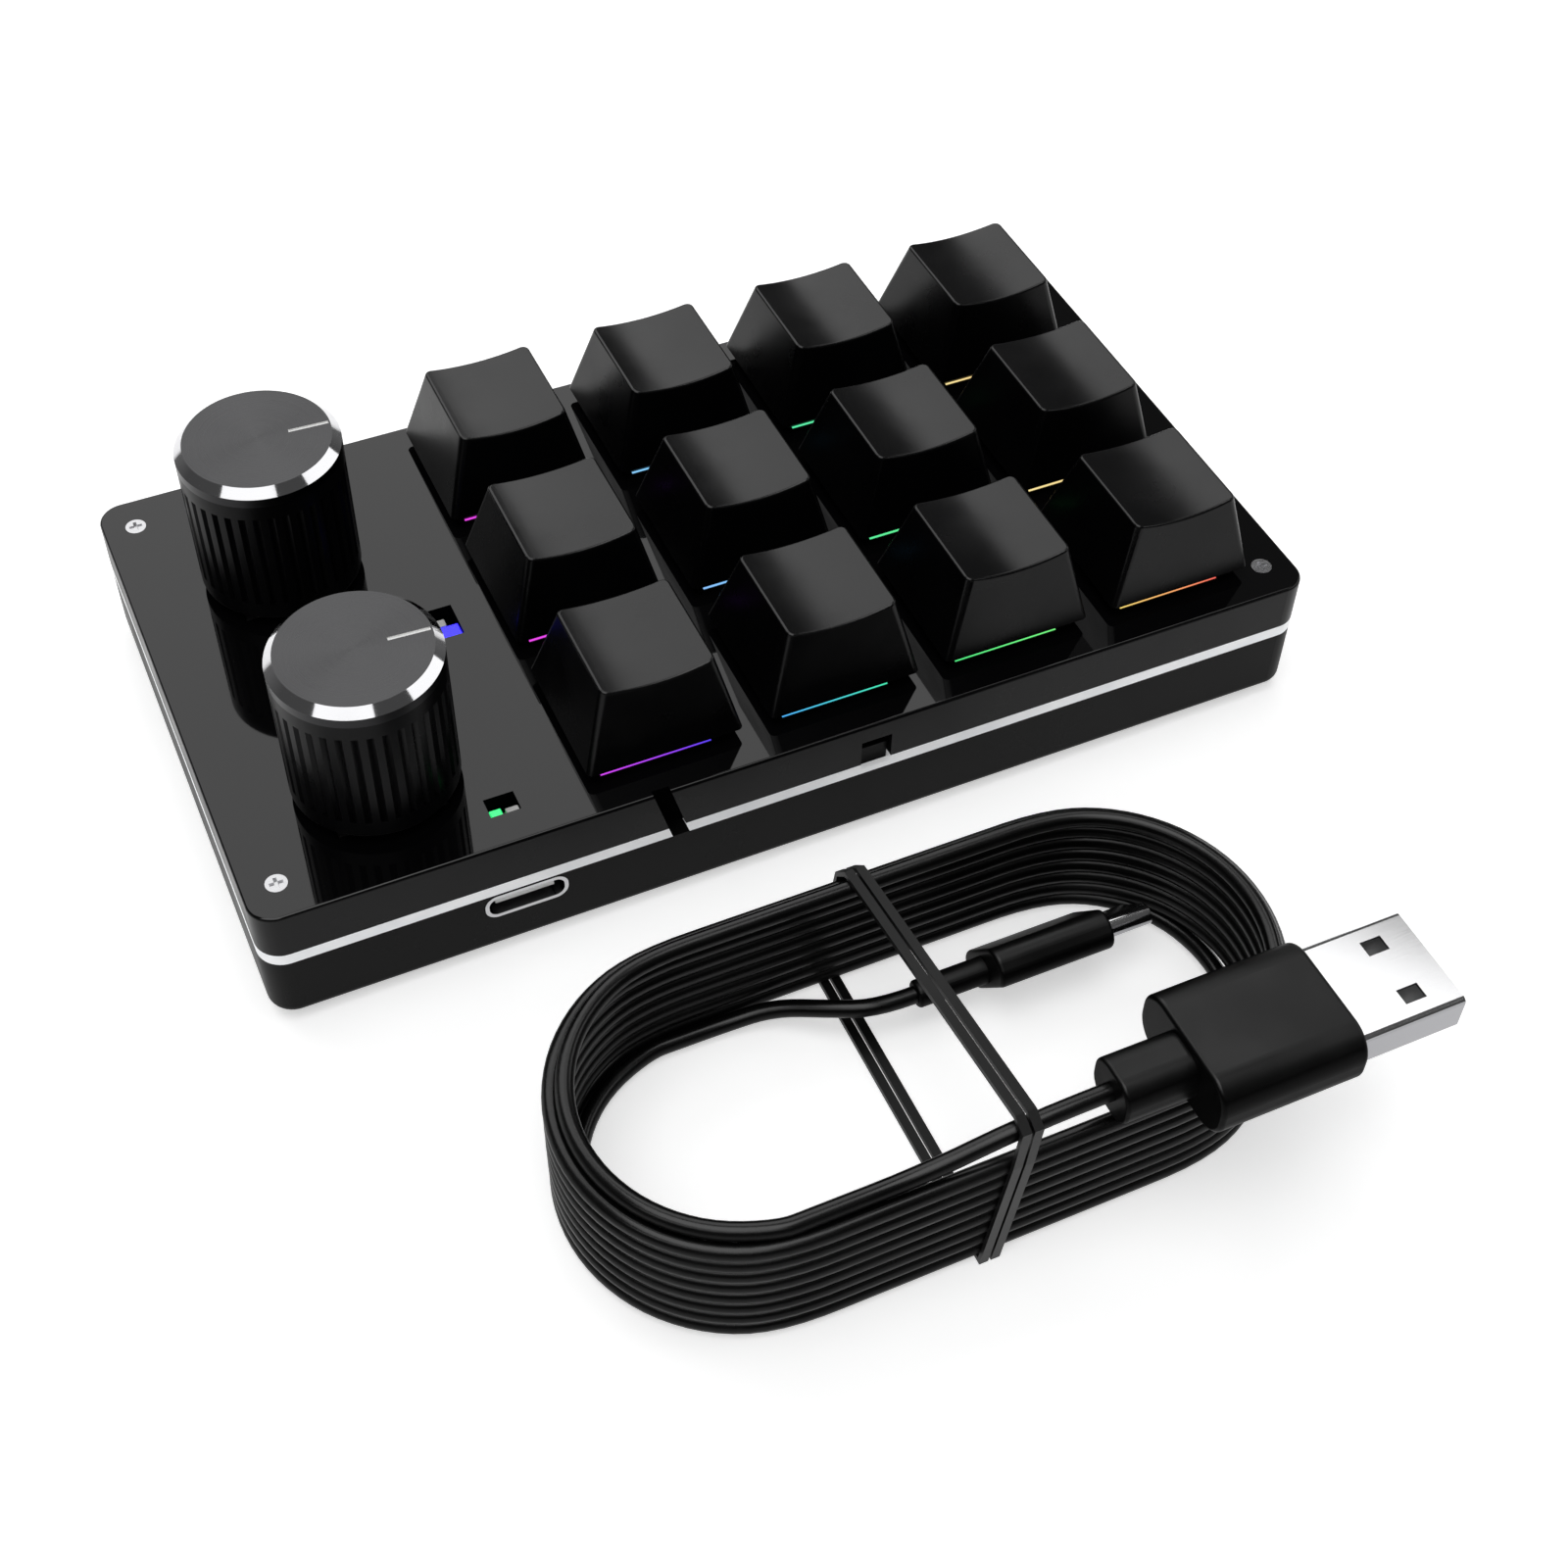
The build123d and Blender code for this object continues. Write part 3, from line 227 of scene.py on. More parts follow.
def two_finishes(name, colour, top, side, wave, recess_y=None):
    """A moulded or extruded plastic whose upper side and flanks differ in finish.

    top is (roughness, specular level), side is the same with the share of it that a dull film covers,
    wave is the depth of the top's faint waviness, and recess_y is the depth from which walls that
    face the front lie in the shade of a slot.
    """
    material, tree, output = new_material(name)
    place = add_node(tree, "ShaderNodeTexCoord").outputs["Object"]
    smear = add_node(
        tree, "ShaderNodeTexNoise", {"Vector": place, "Scale": 1 / SMEAR_SIZE, "Detail": 5.0}).outputs["Fac"]
    tint = add_node(
        tree, "ShaderNodeValToRGB", {"Fac": smear},
        stops=[(0.3, shaded(colour, 0.7)), (0.8, tuple(colour))]).outputs["Color"]
    broad = add_node(tree, "ShaderNodeTexNoise", {"Vector": place, "Scale": 1 / WAVE_SIZE, "Detail": 2.0})
    bump = add_node(tree, "ShaderNodeBump", {"Height": broad.outputs["Fac"], "Distance": wave})

    def finish(roughness, level, **more):
        uneven = add_node(
            tree, "ShaderNodeMapRange",
            {"Value": smear, "From Min": 0.35, "From Max": 0.7, "To Min": roughness * 0.8,
             "To Max": roughness * 1.2})
        return add_node(
            tree, "ShaderNodeBsdfPrincipled",
            {"Base Color": tint, "Roughness": uneven.outputs["Result"], "IOR": PLASTIC_IOR,
             "Specular IOR Level": level, **more}).outputs["BSDF"]

    facing = add_node(tree, "ShaderNodeNewGeometry").outputs["Normal"]
    normal = add_node(tree, "ShaderNodeSeparateXYZ", {"Vector": facing})
    on_top = add_node(
        tree, "ShaderNodeMapRange",
        {"Value": normal.outputs["Z"], "From Min": SIDE_UP, "From Max": TOP_UP}).outputs["Result"]
    roughness, level, film = side
    dull = add_node(tree, "ShaderNodeBsdfDiffuse", {"Color": tint}).outputs["BSDF"]
    filmed = add_node(
        tree, "ShaderNodeMixShader", {0: film, 1: finish(roughness, level), 2: dull}).outputs["Shader"]
    whole = add_node(
        tree, "ShaderNodeMixShader",
        {0: on_top, 1: filmed, 2: finish(*top, Normal=bump.outputs["Normal"])}).outputs["Shader"]
    if recess_y is not None:
        depth = add_node(tree, "ShaderNodeSeparateXYZ", {"Vector": place}).outputs["Y"]
        behind = add_node(
            tree, "ShaderNodeMapRange",
            {"Value": depth, "From Min": recess_y - 0.1 * MM, "From Max": recess_y}).outputs["Result"]
        shade = add_node(
            tree, "ShaderNodeMapRange",
            {"Value": normal.outputs["Y"], "From Min": -0.8, "From Max": -0.95, "To Max": behind})
        whole = add_node(
            tree, "ShaderNodeMixShader", {0: shade.outputs["Result"], 1: whole, 2: dull}).outputs["Shader"]
    tree.links.new(whole, output.inputs["Surface"])
    return material


def plated(name, colour, line_pitch, roughness, stretch=(1, 30, 30), bright_side=None):
    """A plated, drawn or cast metal with faint lines along one axis.

    bright_side is (axis, from, to, shade colour): the metal is bright where the normal's part along the
    axis passes from one value to the other, and elsewhere has the darker colour, which is painted shade.
    """
    material, tree, output = new_material(name)
    place = add_node(tree, "ShaderNodeTexCoord").outputs["Object"]
    along = add_node(
        tree, "ShaderNodeMapping", {"Vector": place, "Scale": tuple(s / line_pitch / 30 for s in stretch)})
    lines = add_node(
        tree, "ShaderNodeTexNoise", {"Vector": along.outputs["Vector"], "Scale": 1.0, "Detail": 3.0})
    rough = add_node(
        tree, "ShaderNodeMapRange",
        {"Value": lines.outputs["Fac"], "To Min": roughness * 0.7, "To Max": roughness * 1.4})
    tint = add_node(
        tree, "ShaderNodeValToRGB", {"Fac": lines.outputs["Fac"]},
        stops=[(0.3, shaded(colour, 0.9)), (0.7, colour)]).outputs["Color"]
    if bright_side:
        axis, start, end, dull = bright_side
        facing = add_node(tree, "ShaderNodeNewGeometry").outputs["Normal"]
        normal = add_node(tree, "ShaderNodeSeparateXYZ", {"Vector": facing})
        bright = add_node(
            tree, "ShaderNodeMapRange", {"Value": normal.outputs[axis], "From Min": start, "From Max": end})
        tint = add_node(
            tree, "ShaderNodeMix", {0: bright.outputs["Result"], 6: dull, 7: tint},
            data_type="RGBA").outputs[2]
    shader = add_node(
        tree, "ShaderNodeBsdfPrincipled",
        {"Base Color": tint, "Roughness": rough.outputs["Result"], "Metallic": 1.0})
    tree.links.new(shader.outputs["BSDF"], output.inputs["Surface"])
    return material


def dress(node, material):
    """Give a CAD node one material."""
    mesh = NODES[node].data
    mesh.materials.clear()
    mesh.materials.append(material)


def new_piece(name, mesh, body, material):
    """A new mesh piece that rides on a body and takes its finish from a slot."""
    piece = bpy.data.objects.new(name, mesh)
    bpy.context.scene.collection.objects.link(piece)
    mesh.materials.append(material)
    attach(piece, body)
    return piece


def rounded_bar(name, low, high, edge):
    """A mesh box between two corners with small rounded edges."""
    low, high = Vector(low), Vector(high)
    mesh = bpy.data.meshes.new(name)
    shape = bmesh.new()
    bmesh.ops.create_cube(shape, size=1.0)
    bmesh.ops.scale(shape, vec=high - low, verts=shape.verts)
    bmesh.ops.translate(shape, vec=(low + high) / 2, verts=shape.verts)
    bmesh.ops.bevel(
        shape, geom=shape.edges, offset=edge, segments=2, profile=0.5, affect="EDGES", clamp_overlap=True)
    shape.to_mesh(mesh)
    shape.free()
    return mesh


# ---------------------------------------------------------------- materials of the case
def light_guide_acrylic(lights):
    """Milky acrylic, moulded: glows evenly, with a faintly uneven haze."""
    material, tree, output = new_material("light_guide_acrylic")
    place = add_node(tree, "ShaderNodeTexCoord").outputs["Object"]
    haze = add_node(tree, "ShaderNodeTexNoise", {"Vector": place, "Scale": 1 / (6 * MM), "Detail": 3.0})
    tint = add_node(
        tree, "ShaderNodeValToRGB", {"Fac": haze.outputs["Fac"]},
        stops=[(0.25, linear("#dfe1e4")), (0.75, linear("#f6f7f8"))]).outputs["Color"]
    shader = add_node(
        tree, "ShaderNodeBsdfPrincipled",
        {"Base Color": tint, "Roughness": 0.3, "IOR": 1.49,
         "Emission Color": tint, "Emission Strength": lights.band_strength})
    tree.links.new(shader.outputs["BSDF"], output.inputs["Surface"])
    return material


def solder_mask_laminate():
    """Glass-epoxy board under black-green solder mask: satin, with a faint weave."""
    material, tree, output = new_material("solder_mask_laminate")
    place = add_node(tree, "ShaderNodeTexCoord").outputs["Object"]
    # the bands repeat at 0.31 of this size, so the threads lie 0.75 mm apart
    weave = add_node(
        tree, "ShaderNodeTexWave",
        {"Vector": place, "Scale": 1 / (2.4 * MM), "Distortion": 0.4}, wave_type="BANDS")
    tint = add_node(
        tree, "ShaderNodeValToRGB", {"Fac": weave.outputs["Fac"]},
        stops=[(0.2, linear("#0c1f15")), (0.8, linear("#12291c"))]).outputs["Color"]
    bump = add_node(
        tree, "ShaderNodeBump", {"Height": weave.outputs["Fac"], "Strength": 0.3, "Distance": 0.02 * MM})
    shader = add_node(
        tree, "ShaderNodeBsdfPrincipled",
        {"Base Color": tint, "Roughness": 0.35, "Normal": bump.outputs["Normal"], "IOR": 1.55})
    tree.links.new(shader.outputs["BSDF"], output.inputs["Surface"])
    return material


# ---------------------------------------------------------------- materials of the keys and lights
def line_of_light(name, left, right, strength):
    """LED light that leaks out under a key: its hue runs from one end of the line to the other."""
    material, tree, output = new_material(name)
    place = add_node(tree, "ShaderNodeTexCoord").outputs["Generated"]
    across = add_node(tree, "ShaderNodeSeparateXYZ", {"Vector": place}).outputs["X"]
    hue = add_node(
        tree, "ShaderNodeValToRGB", {"Fac": across},
        stops=[(0.0, linear(left)), (1.0, linear(right))]).outputs["Color"]
    shader = add_node(tree, "ShaderNodeEmission", {"Color": hue, "Strength": strength})
    tree.links.new(shader.outputs["Emission"], output.inputs["Surface"])
    return material


def lit_lens(name, colour, strength):
    """Cast epoxy lens over a lit chip: it glows through and through, a little patchily."""
    material, tree, output = new_material(name)
    place = add_node(tree, "ShaderNodeTexCoord").outputs["Generated"]
    # some six soft patches across the lens
    speck = add_node(tree, "ShaderNodeTexNoise", {"Vector": place, "Scale": 6.0, "Detail": 2.0})
    hue = add_node(
        tree, "ShaderNodeValToRGB", {"Fac": speck.outputs["Fac"]},
        stops=[(0.35, shaded(colour, 0.55)), (0.6, colour)]).outputs["Color"]
    shader = add_node(
        tree, "ShaderNodeBsdfPrincipled",
        {"Base Color": colour, "Roughness": 0.15, "IOR": PLASTIC_IOR,
         "Emission Color": hue, "Emission Strength": strength})
    tree.links.new(shader.outputs["BSDF"], output.inputs["Surface"])
    return material


# ---------------------------------------------------------------- materials of the knobs
def spun_aluminium(name, finish, top_z, centre):
    """Dark anodised aluminium disc: turned rings on the face, a bright cut bevel, a white enamel pointer."""
    material, tree, output = new_material(name)
    place = add_node(tree, "ShaderNodeTexCoord").outputs["Object"]
    around = add_node(
        tree, "ShaderNodeVectorMath", {0: place, 1: (centre.x, centre.y, 0.0)}, operation="SUBTRACT")
    flat = add_node(
        tree, "ShaderNodeVectorMath", {0: around.outputs["Vector"], 1: (1.0, 1.0, 0.0)},
        operation="MULTIPLY")
    reach = add_node(
        tree, "ShaderNodeVectorMath", {0: flat.outputs["Vector"]}, operation="LENGTH").outputs["Value"]
    height = add_node(tree, "ShaderNodeSeparateXYZ", {"Vector": place}).outputs["Z"]
    # noise along the distance from the axis alone gives rings, coarser than real ones so that they show
    ring_place = add_node(tree, "ShaderNodeCombineXYZ", {"X": reach})
    rings = add_node(
        tree, "ShaderNodeTexNoise",
        {"Vector": ring_place.outputs["Vector"], "Scale": 1 / finish.spin_pitch, "Detail": 3.0})
    bump = add_node(
        tree, "ShaderNodeBump",
        {"Height": rings.outputs["Fac"], "Strength": 0.35, "Distance": 0.02 * MM})
    ring_rough = add_node(
        tree, "ShaderNodeMapRange",
        {"Value": rings.outputs["Fac"], "From Min": 0.3, "From Max": 0.7, "To Min": 0.24, "To Max": 0.34})
    tangent = add_node(tree, "ShaderNodeTangent", direction_type="RADIAL", axis="Z")
    colour = tuple(finish.disc_colour)
    tint = add_node(
        tree, "ShaderNodeValToRGB", {"Fac": rings.outputs["Fac"]},
        stops=[(0.3, shaded(colour, 0.9)), (0.7, colour)]).outputs["Color"]
    normal = add_node(tree, "ShaderNodeNewGeometry").outputs["Normal"]
    up = add_node(tree, "ShaderNodeSeparateXYZ", {"Vector": normal}).outputs["Z"]
    on_face = add_node(tree, "ShaderNodeMapRange", {"Value": up, "From Min": 0.2, "From Max": 0.5})
    # the side takes a flat, nearly black tint in place of the face's ringed one
    tint = add_node(
        tree, "ShaderNodeMix", {0: on_face.outputs["Result"], 6: linear("#2c2c2d"), 7: tint},
        data_type="RGBA").outputs[2]
    face = add_node(
        tree, "ShaderNodeBsdfPrincipled",
        {"Base Color": tint, "Metallic": 1.0, "Roughness": ring_rough.outputs["Result"],
         "Anisotropic": 0.75, "Tangent": tangent.outputs["Tangent"], "Normal": bump.outputs["Normal"]})
    bevel = add_node(
        tree, "ShaderNodeBsdfPrincipled",
        {"Base Color": linear("#d6d6d8"), "Metallic": 1.0, "Roughness": 0.08})
    pointer = add_node(
        tree, "ShaderNodeBsdfPrincipled",
        {"Base Color": linear("#fcfcfb"), "Roughness": 0.3, "Coat Weight": 0.5})
    # the cut goes through the anodising on the bevel alone
    on_bevel = add_node(
        tree, "ShaderNodeMath", {0: up, 1: sin(pi / 4), 2: 0.1}, operation="COMPARE").outputs["Value"]
    # the enamel fills the groove from a little under its floor to a little under the face
    enamel_low, enamel_high = top_z - 0.2 * MM, top_z - 0.01 * MM
    in_groove = add_node(
        tree, "ShaderNodeMath",
        {0: height, 1: (enamel_low + enamel_high) / 2, 2: (enamel_high - enamel_low) / 2},
        operation="COMPARE").outputs["Value"]
    face_and_groove = add_node(
        tree, "ShaderNodeMixShader", {0: in_groove, 1: face.outputs["BSDF"], 2: pointer.outputs["BSDF"]})
    whole = add_node(
        tree, "ShaderNodeMixShader",
        {0: on_bevel, 1: face_and_groove.outputs["Shader"], 2: bevel.outputs["BSDF"]})
    tree.links.new(whole.outputs["Shader"], output.inputs["Surface"])
    return material


# ---------------------------------------------------------------- materials of the studio
def studio_paper(studio):
    """Matt white paper with light behind it: nearly an even white, with faint clouds."""
    material, tree, output = new_material("studio_paper")
    place = add_node(tree, "ShaderNodeTexCoord").outputs["Object"]
    fibre = add_node(tree, "ShaderNodeTexNoise", {"Vector": place, "Scale": 1 / (25 * MM), "Detail": 2.0})
    tint = add_node(
        tree, "ShaderNodeValToRGB", {"Fac": fibre.outputs["Fac"]},
        stops=[(0.0, linear("#f6f6f6")), (1.0, linear("#fbfbfb"))]).outputs["Color"]
    shader = add_node(
        tree, "ShaderNodeBsdfPrincipled",
        {"Base Color": tint, "Roughness": 0.9, "Specular IOR Level": 0.1,
         "Emission Color": tint, "Emission Strength": studio.paper_glow})
    tree.links.new(shader.outputs["BSDF"], output.inputs["Surface"])
    return material


def dim_room():
    """The world as a dim room, a little lighter at the horizon."""
    world = bpy.data.worlds.new("studio_world")
    world.use_nodes = True
    tree = world.node_tree
    direction = add_node(tree, "ShaderNodeTexCoord").outputs["Generated"]
    height = add_node(tree, "ShaderNodeSeparateXYZ", {"Vector": direction}).outputs["Z"]
    horizon, above = (0.13, 0.13, 0.13, 1.0), (0.07, 0.07, 0.07, 1.0)
    wall = add_node(
        tree, "ShaderNodeValToRGB", {"Fac": height}, stops=[(0.08, horizon), (0.3, above)])
    tree.links.new(wall.outputs["Color"], tree.nodes["Background"].inputs["Color"])
    return world


# ---------------------------------------------------------------- operators
class KEYPAD_OT_camera(bpy.types.Operator):
    """Set up the camera"""
    bl_idname = "keypad.set_camera"
    bl_label = "Set Camera"

    def execute(self, context):
        studio = context.scene.keypad_studio
        target = Vector((0.098, -25.19, 1.2)) * MM
        azimuth, elevation, roll = studio.azimuth, studio.elevation, studio.roll
        forward = Vector((
            sin(azimuth) * cos(elevation), cos(azimuth) * cos(elevation), -sin(elevation)))
        level = Vector((cos(azimuth), -sin(azimuth), 0))
        upright = level.cross(forward)
        right = cos(roll) * level + sin(roll) * upright
        up = -sin(roll) * level + cos(roll) * upright
        data = bpy.data.cameras.new("camera")
        data.lens = studio.lens
        data.sensor_width = 36.0
        data.clip_start = 1 * MM
        data.clip_end = 10.0
        camera = bpy.data.objects.new("camera", data)
        context.scene.collection.objects.link(camera)
        turn = Matrix((right, up, -forward)).transposed().to_4x4()
        camera.matrix_world = Matrix.Translation(target - forward * studio.distance) @ turn
        context.scene.camera = camera
        return {"FINISHED"}


class KEYPAD_OT_lead(bpy.types.Operator):
    """Make the USB lead, wound in a flat hank"""
    bl_idname = "keypad.make_lead"
    bl_label = "Make USB Lead"

    bend_points: IntProperty(
        name="Points per Bend", description="Control points along each half-round bend", default=8, min=4)

    # shares of a turn between which the cord steps down to the next turn, and for the column's last turn
    step_down = (0.60, 0.74)
    last_step_down = (0.5625, 0.64)
    # control points of the loose stretches in mm, from the USB-A plug to the hank and on to the device plug
    from_usb_a = (
        (5.15, -87.97, 20.3), (-3.5, -87.97, 20.3), (-13.5, -86.965, 16.522), (-25.35, -86.965, 16.522))
    to_plug = (
        (-25.35, -53.825, 1.475), (-20.0, -53.825, 1.475), (-14.5, -54.6, 2.4), (-9.5, -58.2, 3.9),
        (-5.2, -60.5, 4.49), (-0.75, -60.5, 4.49))

    def height_and_inset(self, lead, turn, share):
        """Where a turn lies at a share of its way round, as (height, distance inside the column)."""
        low = HANK_LOW.z + lead.cord_diameter / 2
        column = [(low + lead.cord_diameter * n, 0.0) for n in reversed(range(lead.layers))]
        levels = [(HANK_HIGH.z - lead.cord_diameter / 2, lead.top_inset), *column, (low, lead.cord_diameter)]
        # the last turn of the column steps inside it, and the others then step down one after another
        start, end = self.last_step_down if turn == lead.layers else self.step_down
        mix = min(1.0, max(0.0, (share - start) / (end - start)))
        here, after = levels[turn], levels[min(turn + 1, lead.layers + 1)]
        z, inset = [a + (b - a) * mix for a, b in zip(here, after)]
        if turn == 0:
            # the first turn rolls off the shoulder of the turn under it
            z = after[0] - lead.cord_diameter * mix + sqrt(lead.cord_diameter ** 2 - inset ** 2)
        return z, inset

    def hank_points(self, lead):
        """Control points of the turns, clockwise from above: left bend, far run, right bend, near run."""
        centre = (HANK_LOW + HANK_HIGH) / 2
        radius = (HANK_HIGH.y - HANK_LOW.y - lead.cord_diameter) / 2
        half_run = (HANK_HIGH.x - HANK_LOW.x - HANK_HIGH.y + HANK_LOW.y) / 2
        step = pi / self.bend_points
        # the points of one turn, as (share of its way round, along, outward, across)
        lap = []
        for side in (-1, 1):
            # a bend's points stand on its tangents, so that the curve touches the circle between them
            for n in range(self.bend_points):
                angle = (n + 0.5) * step
                lap.append((
                    (side + 1 + angle / pi) / 4,
                    side * half_run, side * sin(angle) / cos(step / 2), side * cos(angle) / cos(step / 2)))
            for share in (0.2, 0.5, 0.8):
                lap.append(((side + 2 + share) / 4, side * half_run * (1 - 2 * share), 0.0, -side))
        points = []
        for turn in range(lead.layers + 2):
            for share, along, outward, across in lap:
                # after the last turn's left bend the cord leaves the hank
                if turn == lead.layers + 1 and share > 0.25:
                    break
                z, inset = self.height_and_inset(lead, turn, share)
                reach = radius - inset
                points.append(Vector((centre.x + along + reach * outward, centre.y + reach * across, z)))
        return points

    def execute(self, context):
        lead = context.scene.keypad_lead
        from_usb_a, to_plug = [
            [Vector(place) * MM for place in stretch] for stretch in (self.from_usb_a, self.to_plug)]
        route = from_usb_a + self.hank_points(lead) + to_plug
        data = bpy.data.curves.new("usb_lead", "CURVE")
        data.dimensions = "3D"
        data.bevel_depth = lead.cord_diameter / 2
        data.bevel_resolution = 5
        data.use_fill_caps = True
        spline = data.splines.new("NURBS")
        spline.points.add(len(route) - 1)
        for point, place in zip(spline.points, route):
            point.co = (*place, 1.0)
        spline.order_u = 3
        spline.use_endpoint_u = True
        spline.resolution_u = 5
        spline.use_smooth = True
        piece = bpy.data.objects.new("usb_lead", data)
        context.scene.collection.objects.link(piece)
        # extruded soft PVC: the upper side catches a soft line of light, the flanks stay dull
        data.materials.append(two_finishes(
            "lead_pvc", linear("#070707"), (0.26, 0.5), (0.36, 0.12, 0.0), 0.003 * MM))
        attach(piece, "keypad")
        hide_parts("lead_hank", "lead_to_usb_a", "lead_to_plug")
        return {"FINISHED"}


class KEYPAD_OT_case(bpy.types.Operator):
    """Finish the case, its light band, screws, feet and port"""
    bl_idname = "keypad.finish_case"
    bl_label = "Finish Case"

    def execute(self, context):
        finish = context.scene.keypad_finish
        lights = context.scene.keypad_lights
        slot_depth = 0.6 * MM
        # high-gloss deck from a polished mould, which mirrors the knobs and keys; the sides are satin
        dress("top_cover", two_finishes(
            "cover_gloss_abs", finish.cover_colour, (0.04, 0.5), (0.32, SIDE_GLOSS, 0.0), 0.01 * MM,
            recess_y=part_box("top_cover")[0].y + slot_depth))
        # satin outside; the faces that look up, the latch's top in the band's notch and the inner faces, are
        # made matt with almost no reflection as painted shade
        dress("bottom_case", two_finishes(
            "case_satin_abs", finish.case_colour, (0.7, 0.02), (0.32, SIDE_GLOSS, 0.42), 0.01 * MM))
        dress("light_guide", light_guide_acrylic(lights))
        # nickel plating on steel: bright, with a blurred mirror image
        dress("corner_screws", plated("nickel_plated_screw", linear("#d6d6d8"), 0.15 * MM, 0.22))
        # moulded silicone: black and matt
        dress("rubber_feet", moulded(
            "silicone_foot", linear("#101010"), 0.4 * MM, 0.02 * MM, 0.75, ior=1.42))
        # the drawn rim shines, the inside lies in its own shade
        dress("usb_socket_shell", plated(
            "nickel_plated_socket", linear("#bcbcbe"), 0.1 * MM, 0.2,
            bright_side=("Y", -0.5, -0.9, linear("#58585a"))))
        # moulded nylon: nearly white, with a soft sheen
        dress("usb_socket_tongue", moulded(
            "socket_nylon", linear("#f2f2f0"), 0.2 * MM, 0.005 * MM, 0.45))
        return {"FINISHED"}


class KEYPAD_OT_boards(bpy.types.Operator):
    """Finish the circuit boards and what is on them"""
    bl_idname = "keypad.finish_boards"
    bl_label = "Finish Boards"

    def execute(self, context):
        lights = context.scene.keypad_lights
        laminate = solder_mask_laminate()
        dress("circuit_board", laminate)
        dress("usb_board", laminate)
        # moulded nylon: black, with a soft sheen
        dress("board_header", moulded("header_nylon", linear("#0c0c0c"), 0.3 * MM, 0.01 * MM, 0.5))
        # moulded epoxy: nearly black and matt
        dress("controller_chip", moulded(
            "chip_epoxy", linear("#151515"), 0.12 * MM, 0.01 * MM, 0.6, ior=1.55))
        # cast epoxy: milky on the key LEDs, grey on the indicators, both with a soft highlight
        dress("key_leds", moulded("led_epoxy", linear("#d8d8d0"), 0.3 * MM, 0.004 * MM, 0.35))
        dress("indicator_leds", moulded("indicator_epoxy", linear("#8a8a88"), 0.3 * MM, 0.004 * MM, 0.3))
        # a light pipe and its unlit neighbour stand on each indicator and end just under the deck's surface:
        # name, near left corner and far right corner in mm, colour of the lit ones
        pipes = (
            ("front_light_pipe", (-36.3, -29.98), (-34.95, -28.95), "#2fe07a"),
            ("front_unlit_pipe", (-34.55, -29.98), (-33.1, -29.2), None),
            ("back_light_pipe", (-33.1, -2.6), (-29.95, -0.75), "#2d20ff"),
            ("back_unlit_pipe", (-33.1, -0.65), (-31.2, 0.5), None),
        )
        below_deck, edge = 0.15 * MM, 0.12 * MM
        foot_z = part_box("indicator_leds")[1].z
        top_z = DECK_Z - below_deck
        for name, (left, near), (right, far), colour in pipes:
            bar = rounded_bar(
                name, (left * MM, near * MM, foot_z), (right * MM, far * MM, top_z), edge)
            if colour:
                material = lit_lens(f"{name}_epoxy", linear(colour), lights.indicator_strength)
            else:
                # moulded acrylic with no light in it: a plain light grey
                material = moulded(
                    f"{name}_acrylic", linear("#c4c4c2"), 0.2 * MM, 0.004 * MM, 0.35, ior=1.49)
            new_piece(name, bar, "keypad", material)
        return {"FINISHED"}


class KEYPAD_OT_switches(bpy.types.Operator):
    """Finish the key switches and encoders"""
    bl_idname = "keypad.finish_switches"
    bl_label = "Finish Switches"

    def execute(self, context):
        # moulded nylon: nearly black, with a satin sheen
        housing = moulded("switch_nylon", linear("#121213"), 0.3 * MM, 0.006 * MM, 0.35)
        dress("switch_bases", housing)
        dress("switch_tops", housing)
        # drawn spring steel: light grey, with faint lines
        spring_wire = plated("drawn_spring_wire", linear("#b8b6b0"), 0.1 * MM, 0.25)
        dress("switch_springs", spring_wire)
        dress("encoder_domes", spring_wire)
        # die-cast zinc: a duller grey
        dress("encoder_bases", plated("zinc_encoder_body", linear("#9b9b9e"), 0.3 * MM, 0.35))
        # moulded acetal: dark blue, with a waxy sheen
        slider = moulded("acetal_slider", linear("#24406e"), 0.25 * MM, 0.004 * MM, 0.4, ior=1.48)
        for row in ROWS:
            for column in COLUMNS:
                dress(f"switch_stem_row{row}_col{column}", slider)
        for place in KNOBS:
            dress(f"{place}_encoder_plunger", slider)
            # drawn steel rod: faint lines along its length
            dress(f"{place}_encoder_shaft", plated(
                f"{place}_drawn_shaft", linear("#b0b0b2"), 0.2 * MM, 0.3, stretch=(30, 30, 1)))
        return {"FINISHED"}


class KEYPAD_OT_keycaps(bpy.types.Operator):
    """Finish the keycaps"""
    bl_idname = "keypad.finish_keycaps"
    bl_label = "Finish Keycaps"

    def execute(self, context):
        finish = context.scene.keypad_finish
        # semi-gloss tops with soft wide highlights, and duller sides
        cap = two_finishes("keycap_abs", finish.keycap_colour, (0.24, 0.5), (0.3, 0.15, 0.0), 0.002 * MM)
        for row in ROWS:
            for column in COLUMNS:
                dress(f"keycap_row{row}_col{column}", cap)
        return {"FINISHED"}


